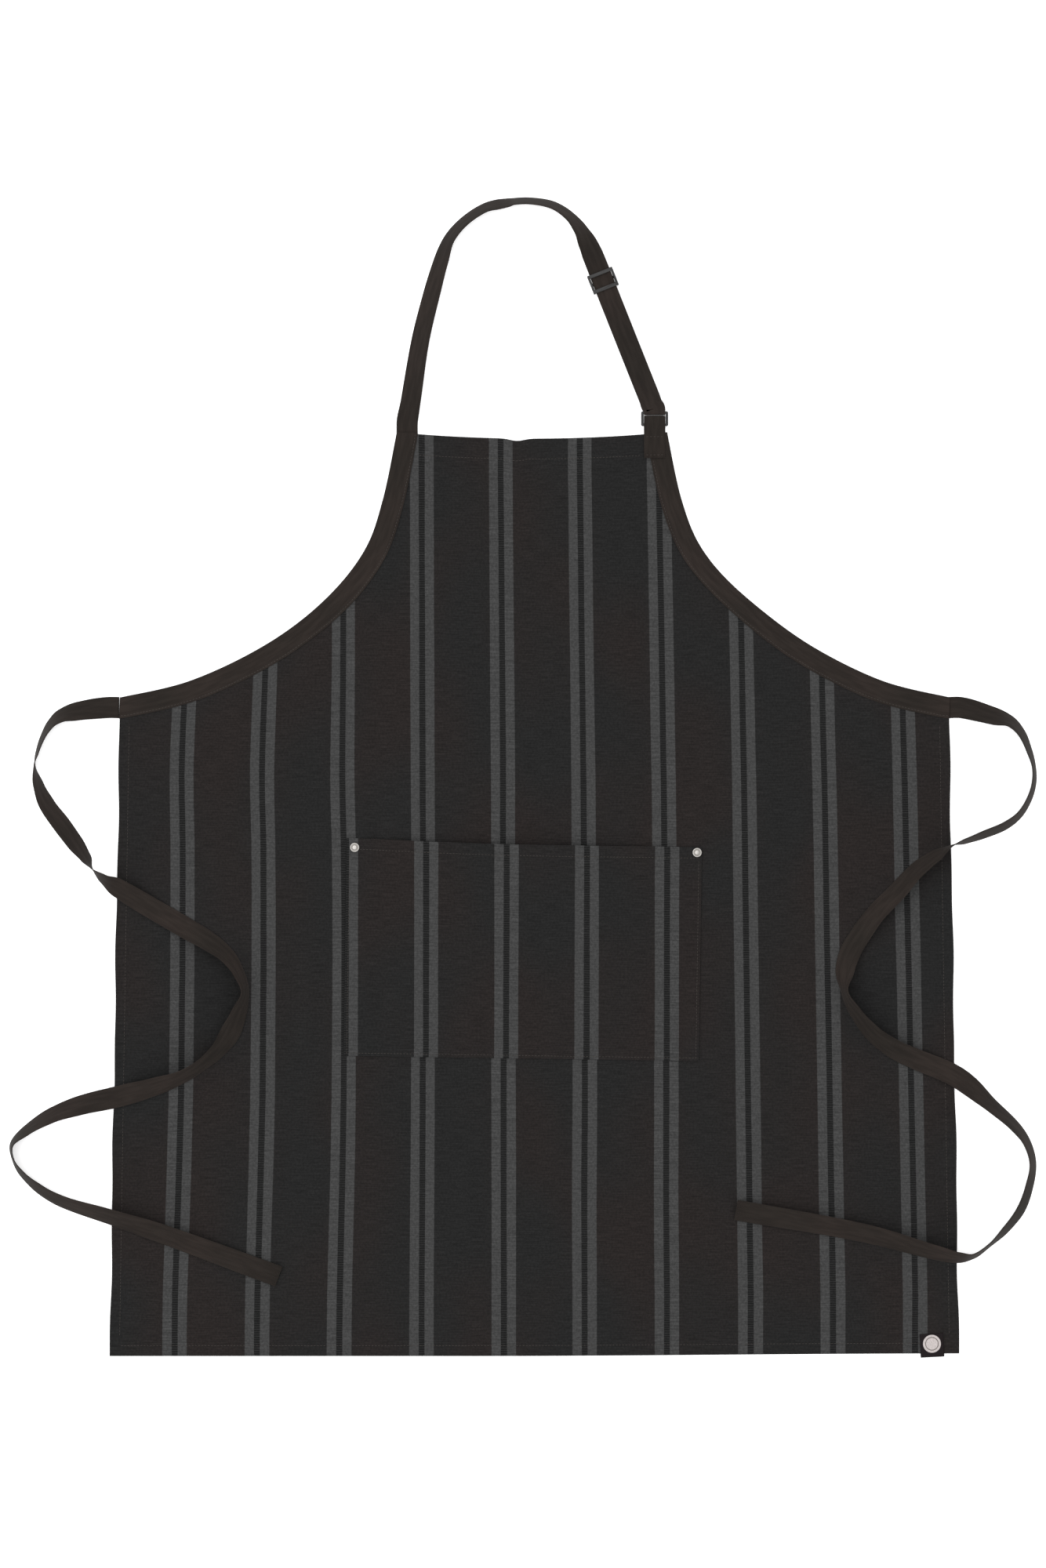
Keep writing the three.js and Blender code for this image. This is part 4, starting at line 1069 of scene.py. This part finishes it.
def streaks(made, weave, per_x, per_y, detail=2.0):
    """Noise whose cells are 1/per_x metres across and 1/per_y metres along the weave."""
    scaled = add(made, "ShaderNodeVectorMath", {0: weave, 1: (per_x, per_y, 1.0)}, operation="MULTIPLY")
    return add(made, "ShaderNodeTexNoise", {"Vector": scaled, "Scale": 1.0, "Detail": detail})


def shade(made, shader, colour, level):
    """Gives the shader the colour, made lighter or darker by a level."""
    grey = add(made, "ShaderNodeCombineColor", {0: level, 1: level, 2: level})
    shaded = add(made, MIX, {0: 1.0, 6: colour, 7: grey}, blend_type="MULTIPLY", **COLOURS)
    made.node_tree.links.new(shaded, shader.inputs["Base Color"])


def raise_threads(made, shader, threads, share, slubs, strength):
    """Gives the shader a bump of threads and slubs, and the faint sheen of loose fibres."""
    threads = add(made, MATH, {0: threads, 1: share}, operation="MULTIPLY")
    height = add(made, MATH, {0: threads, 1: slubs}, operation="ADD")
    bump = add(made, "ShaderNodeBump", {"Height": height, "Strength": strength, "Distance": BUMP})
    made.node_tree.links.new(bump, shader.inputs["Normal"])
    shader.inputs["Sheen Weight"].default_value = 0.03


print("threads stand", round(BUMP / MM, 2), "mm high")

# %% [markdown]
# ### Striped canvas
# The canvas is a plain weave of charcoal yarn. Each stripe is a pair of bands of lighter heathered yarn, with
# a dark gap whose crossing threads show as fine rungs. Thicker slubs in the weft run as faint level lines.
# Real threads are too fine to show at this distance, so the threads and rungs are drawn coarser than they are.

# %% Striped canvas
THREAD_PITCH = 0.9 * MM
RUNG_PITCH = 2.2 * MM


def striped_canvas(name, ground, warm, light, gap):
    made, shader = material(name, ground, 0.88, gloss=YARN_GLOSS)
    weave = add(made, "ShaderNodeAttribute", out="Vector", attribute_name="weave")
    x = add(made, "ShaderNodeSeparateXYZ", {0: weave}, out="X")
    y = x.node.outputs["Y"]

    # Distance from the middle of the nearest stripe, whose edges wander by 0.6 mm
    wander = add(made, MATH, {0: streaks(made, weave, 60, 5), 1: 1.2 * MM}, operation="MULTIPLY")
    wander = add(made, MATH, {0: wander, 1: 0.6 * MM}, operation="SUBTRACT")
    x = add(made, MATH, {0: x, 1: wander}, operation="ADD")
    share = add(made, MATH, {0: x, 1: STRIPE_PITCH}, operation="DIVIDE")
    nearest = add(made, MATH, {0: share}, operation="ROUND")
    off = add(made, MATH, {0: share, 1: nearest}, operation="SUBTRACT")
    off = add(made, MATH, {0: off}, operation="ABSOLUTE")
    off = add(made, MATH, {0: off, 1: STRIPE_PITCH}, operation="MULTIPLY")
    in_pair = add(made, MAP, {0: off, 1: 11.0 * MM, 2: 11.6 * MM, 3: 1.0, 4: 0.0}, **SMOOTH)
    past_gap = add(made, MAP, {0: off, 1: 2.5 * MM, 2: 3.1 * MM}, **SMOOTH)

    # Colours: the ground in faint patches, the gap with its rungs, and the pair of light bands
    patches = add(made, MAP, {0: streaks(made, weave, 9, 6, 1.0), 1: 0.35, 2: 0.7}, **SMOOTH)
    base = add(made, MIX, {0: patches, 6: linear(ground), 7: linear(warm)}, **COLOURS)
    rungs = add(made, MATH, {0: y, 1: 2 * math.pi / RUNG_PITCH}, operation="MULTIPLY")
    rungs = add(made, MATH, {0: rungs}, operation="SINE")
    rungs = add(made, MAP, {0: rungs, 1: 0.2, 2: 1.0, 3: 0.0, 4: 0.35}, **SMOOTH)
    gap_colour = add(made, MIX, {0: rungs, 6: linear(gap), 7: linear(light)}, **COLOURS)
    pair = add(made, MIX, {0: past_gap, 6: gap_colour, 7: linear(light)}, **COLOURS)
    colour = add(made, MIX, {0: in_pair, 6: base, 7: pair}, **COLOURS)

    # Yarns: level slubs, and the mottle of heathered fibres
    slubs = streaks(made, weave, 60, 1500, 3.0)
    heather = streaks(made, weave, 520, 420, 2.0)
    dark = add(made, MAP, {0: slubs, 1: 0.34, 2: 0.66, 3: 0.80, 4: 1.24}, **SMOOTH)
    mottle = add(made, MAP, {0: heather, 1: 0.3, 2: 0.7, 3: 0.82, 4: 1.18}, **SMOOTH)
    shade(made, shader, colour, add(made, MATH, {0: dark, 1: mottle}, operation="MULTIPLY"))

    # Threads both ways
    waves = []
    for axis in (x, y):
        turns = add(made, MATH, {0: axis, 1: 2 * math.pi / THREAD_PITCH}, operation="MULTIPLY")
        waves.append(add(made, MATH, {0: turns}, operation="SINE"))
    threads = add(made, MATH, {0: waves[0], 1: waves[1]}, operation="MULTIPLY")
    raise_threads(made, shader, threads, 0.25, slubs, 0.5)
    shader.inputs["Sheen Roughness"].default_value = 0.6
    return made


canvas = striped_canvas("yarn_dyed_canvas", "#1b1b1b", "#1f1b1a", "#373737", "#141414")
body.data.materials.append(canvas)
pocket.data.materials.append(canvas)
print("stripe pitch", round(STRIPE_PITCH / MM, 1), "mm")

# %% [markdown]
# ### Twill tape, thread and label
# The tape is black-brown cotton twill, about 20 mm wide. Its diagonal rib repeats about every millimetre. The
# thread is a tone lighter than the cloth, so the stitches show as faint dots.

# %% Tape, thread and label
RIB_PITCH = 1.1 * MM
LABEL_DISC_UP = 9.8 * MM  # height of the disc's middle over the hem


def twill_tape(name, colour, light):
    made, shader = material(name, colour, 0.82, gloss=YARN_GLOSS)
    weave = add(made, "ShaderNodeAttribute", out="Vector", attribute_name="weave")
    x = add(made, "ShaderNodeSeparateXYZ", {0: weave}, out="X")
    slant = add(made, MATH, {0: x, 1: x.node.outputs["Y"]}, operation="ADD")
    slant = add(made, MATH, {0: slant, 1: 2 * math.pi / RIB_PITCH}, operation="MULTIPLY")
    rib = add(made, MATH, {0: slant}, operation="SINE")
    slubs = streaks(made, weave, 300, 40, 2.0)
    patches = add(made, MAP, {0: streaks(made, weave, 12, 12, 1.0), 1: 0.3, 2: 0.7}, **SMOOTH)
    mixed = add(made, MIX, {0: patches, 6: linear(colour), 7: linear(light)}, **COLOURS)
    shade(made, shader, mixed, add(made, MAP, {0: slubs, 1: 0.3, 2: 0.7, 3: 0.85, 4: 1.15}, **SMOOTH))
    raise_threads(made, shader, rib, 0.2, slubs, 0.45)
    return made


def woven_label(name, ground, disc_colour, ring_colour):
    made, shader = material(name, ground, 0.7, gloss=YARN_GLOSS)
    weave = add(made, "ShaderNodeAttribute", out="Vector", attribute_name="weave")
    centred = add(made, "ShaderNodeVectorMath", {0: weave, 1: (0.0, LABEL_DISC_UP, 0.0)}, operation="SUBTRACT")
    far = add(made, "ShaderNodeVectorMath", {0: centred}, out="Value", operation="LENGTH")
    disc = add(made, MAP, {0: far, 1: 8.2 * MM, 2: 8.5 * MM, 3: 1.0, 4: 0.0}, **SMOOTH)
    past_inner = add(made, MAP, {0: far, 1: 5.4 * MM, 2: 5.6 * MM}, **SMOOTH)
    in_outer = add(made, MAP, {0: far, 1: 6.3 * MM, 2: 6.5 * MM, 3: 1.0, 4: 0.0}, **SMOOTH)
    ring_mask = add(made, MATH, {0: past_inner, 1: in_outer}, operation="MULTIPLY")
    patch = add(made, MIX, {0: ring_mask, 6: linear(disc_colour), 7: linear(ring_colour)}, **COLOURS)
    colour = add(made, MIX, {0: disc, 6: linear(ground), 7: patch}, **COLOURS)
    yarns = streaks(made, weave, 900, 500)
    shade(made, shader, colour, add(made, MAP, {0: yarns, 1: 0.3, 2: 0.7, 3: 0.88, 4: 1.1}, **SMOOTH))
    return made


tape_twill = twill_tape("cotton_twill_tape", "#221e1b", "#28221f")
for piece in tape_pieces:
    piece.data.materials.append(tape_twill)
label.data.materials.append(woven_label("woven_label", "#1a1516", "#b3aba9", "#6f6966"))
thread, _ = material("cotton_thread", "#423e3b", 0.7, gloss=YARN_GLOSS)
for piece in stitch_pieces.values():
    piece.data.materials.append(thread)
print(len(tape_pieces), "tapes and", len(stitch_pieces), "rows of stitching finished")

# %% [markdown]
# ### Plastic and nickel
# The ring and slider are black moulded plastic with a soft gloss. The rivets are nickel-plated steel, bright
# but not mirror-smooth.

# %% Plastic and nickel
moulding, _ = material("black_moulded_plastic", "#0f0e0e", 0.45, ior=1.49)
for piece in plastic_pieces:
    piece.data.materials.clear()
    piece.data.materials.append(moulding)
nickel, _ = material("nickel_plate", "#a3a09c", 0.26, metallic=1.0)
for piece in metal_pieces:
    piece.data.materials.append(nickel)
print("finishes:", [m.name for m in (canvas, tape_twill, thread, moulding, nickel)])

# %% [markdown]
# ## Surface and light
# The apron lies on a white surface bright enough to lose its own tone. One broad soft light from the left
# and an even surround keep the shadows short and faint, and still model the standing edges of the tape.

# %% Surface and light
bpy.context.scene.view_settings.view_transform = "Standard"
SURFACE_Z = -0.2 * MM  # just under the lowest point of the cloth and the rivets' backs
bpy.ops.mesh.primitive_plane_add(size=12, location=(0, 0, SURFACE_Z))
surface = bpy.context.object
surface.name = "surface"
paper, paper_shader = material("white_paper", "#f7f7f7", 0.95)
paper_shader.inputs["Emission Color"].default_value = (1, 1, 1, 1)
paper_shader.inputs["Emission Strength"].default_value = 0.4
surface.data.materials.append(paper)
light_data = bpy.data.lights.new("softbox", "AREA")
light_data.shape = "RECTANGLE"
light_data.size = 4.0
light_data.size_y = 3.4
light_data.energy = 50
softbox = bpy.data.objects.new("softbox", light_data)
softbox.location = (-1.1, 0.2, 3.2)
softbox.rotation_euler = (Vector((0, 0, 0)) - softbox.location).to_track_quat("-Z", "Y").to_euler()
bpy.context.collection.objects.link(softbox)
world = bpy.data.worlds.new("surround")
world.use_nodes = True
world.node_tree.nodes["Background"].inputs[0].default_value = (1, 1, 1, 1)
world.node_tree.nodes["Background"].inputs[1].default_value = 1.15
bpy.context.scene.world = world
print("softbox", light_data.energy, "W")
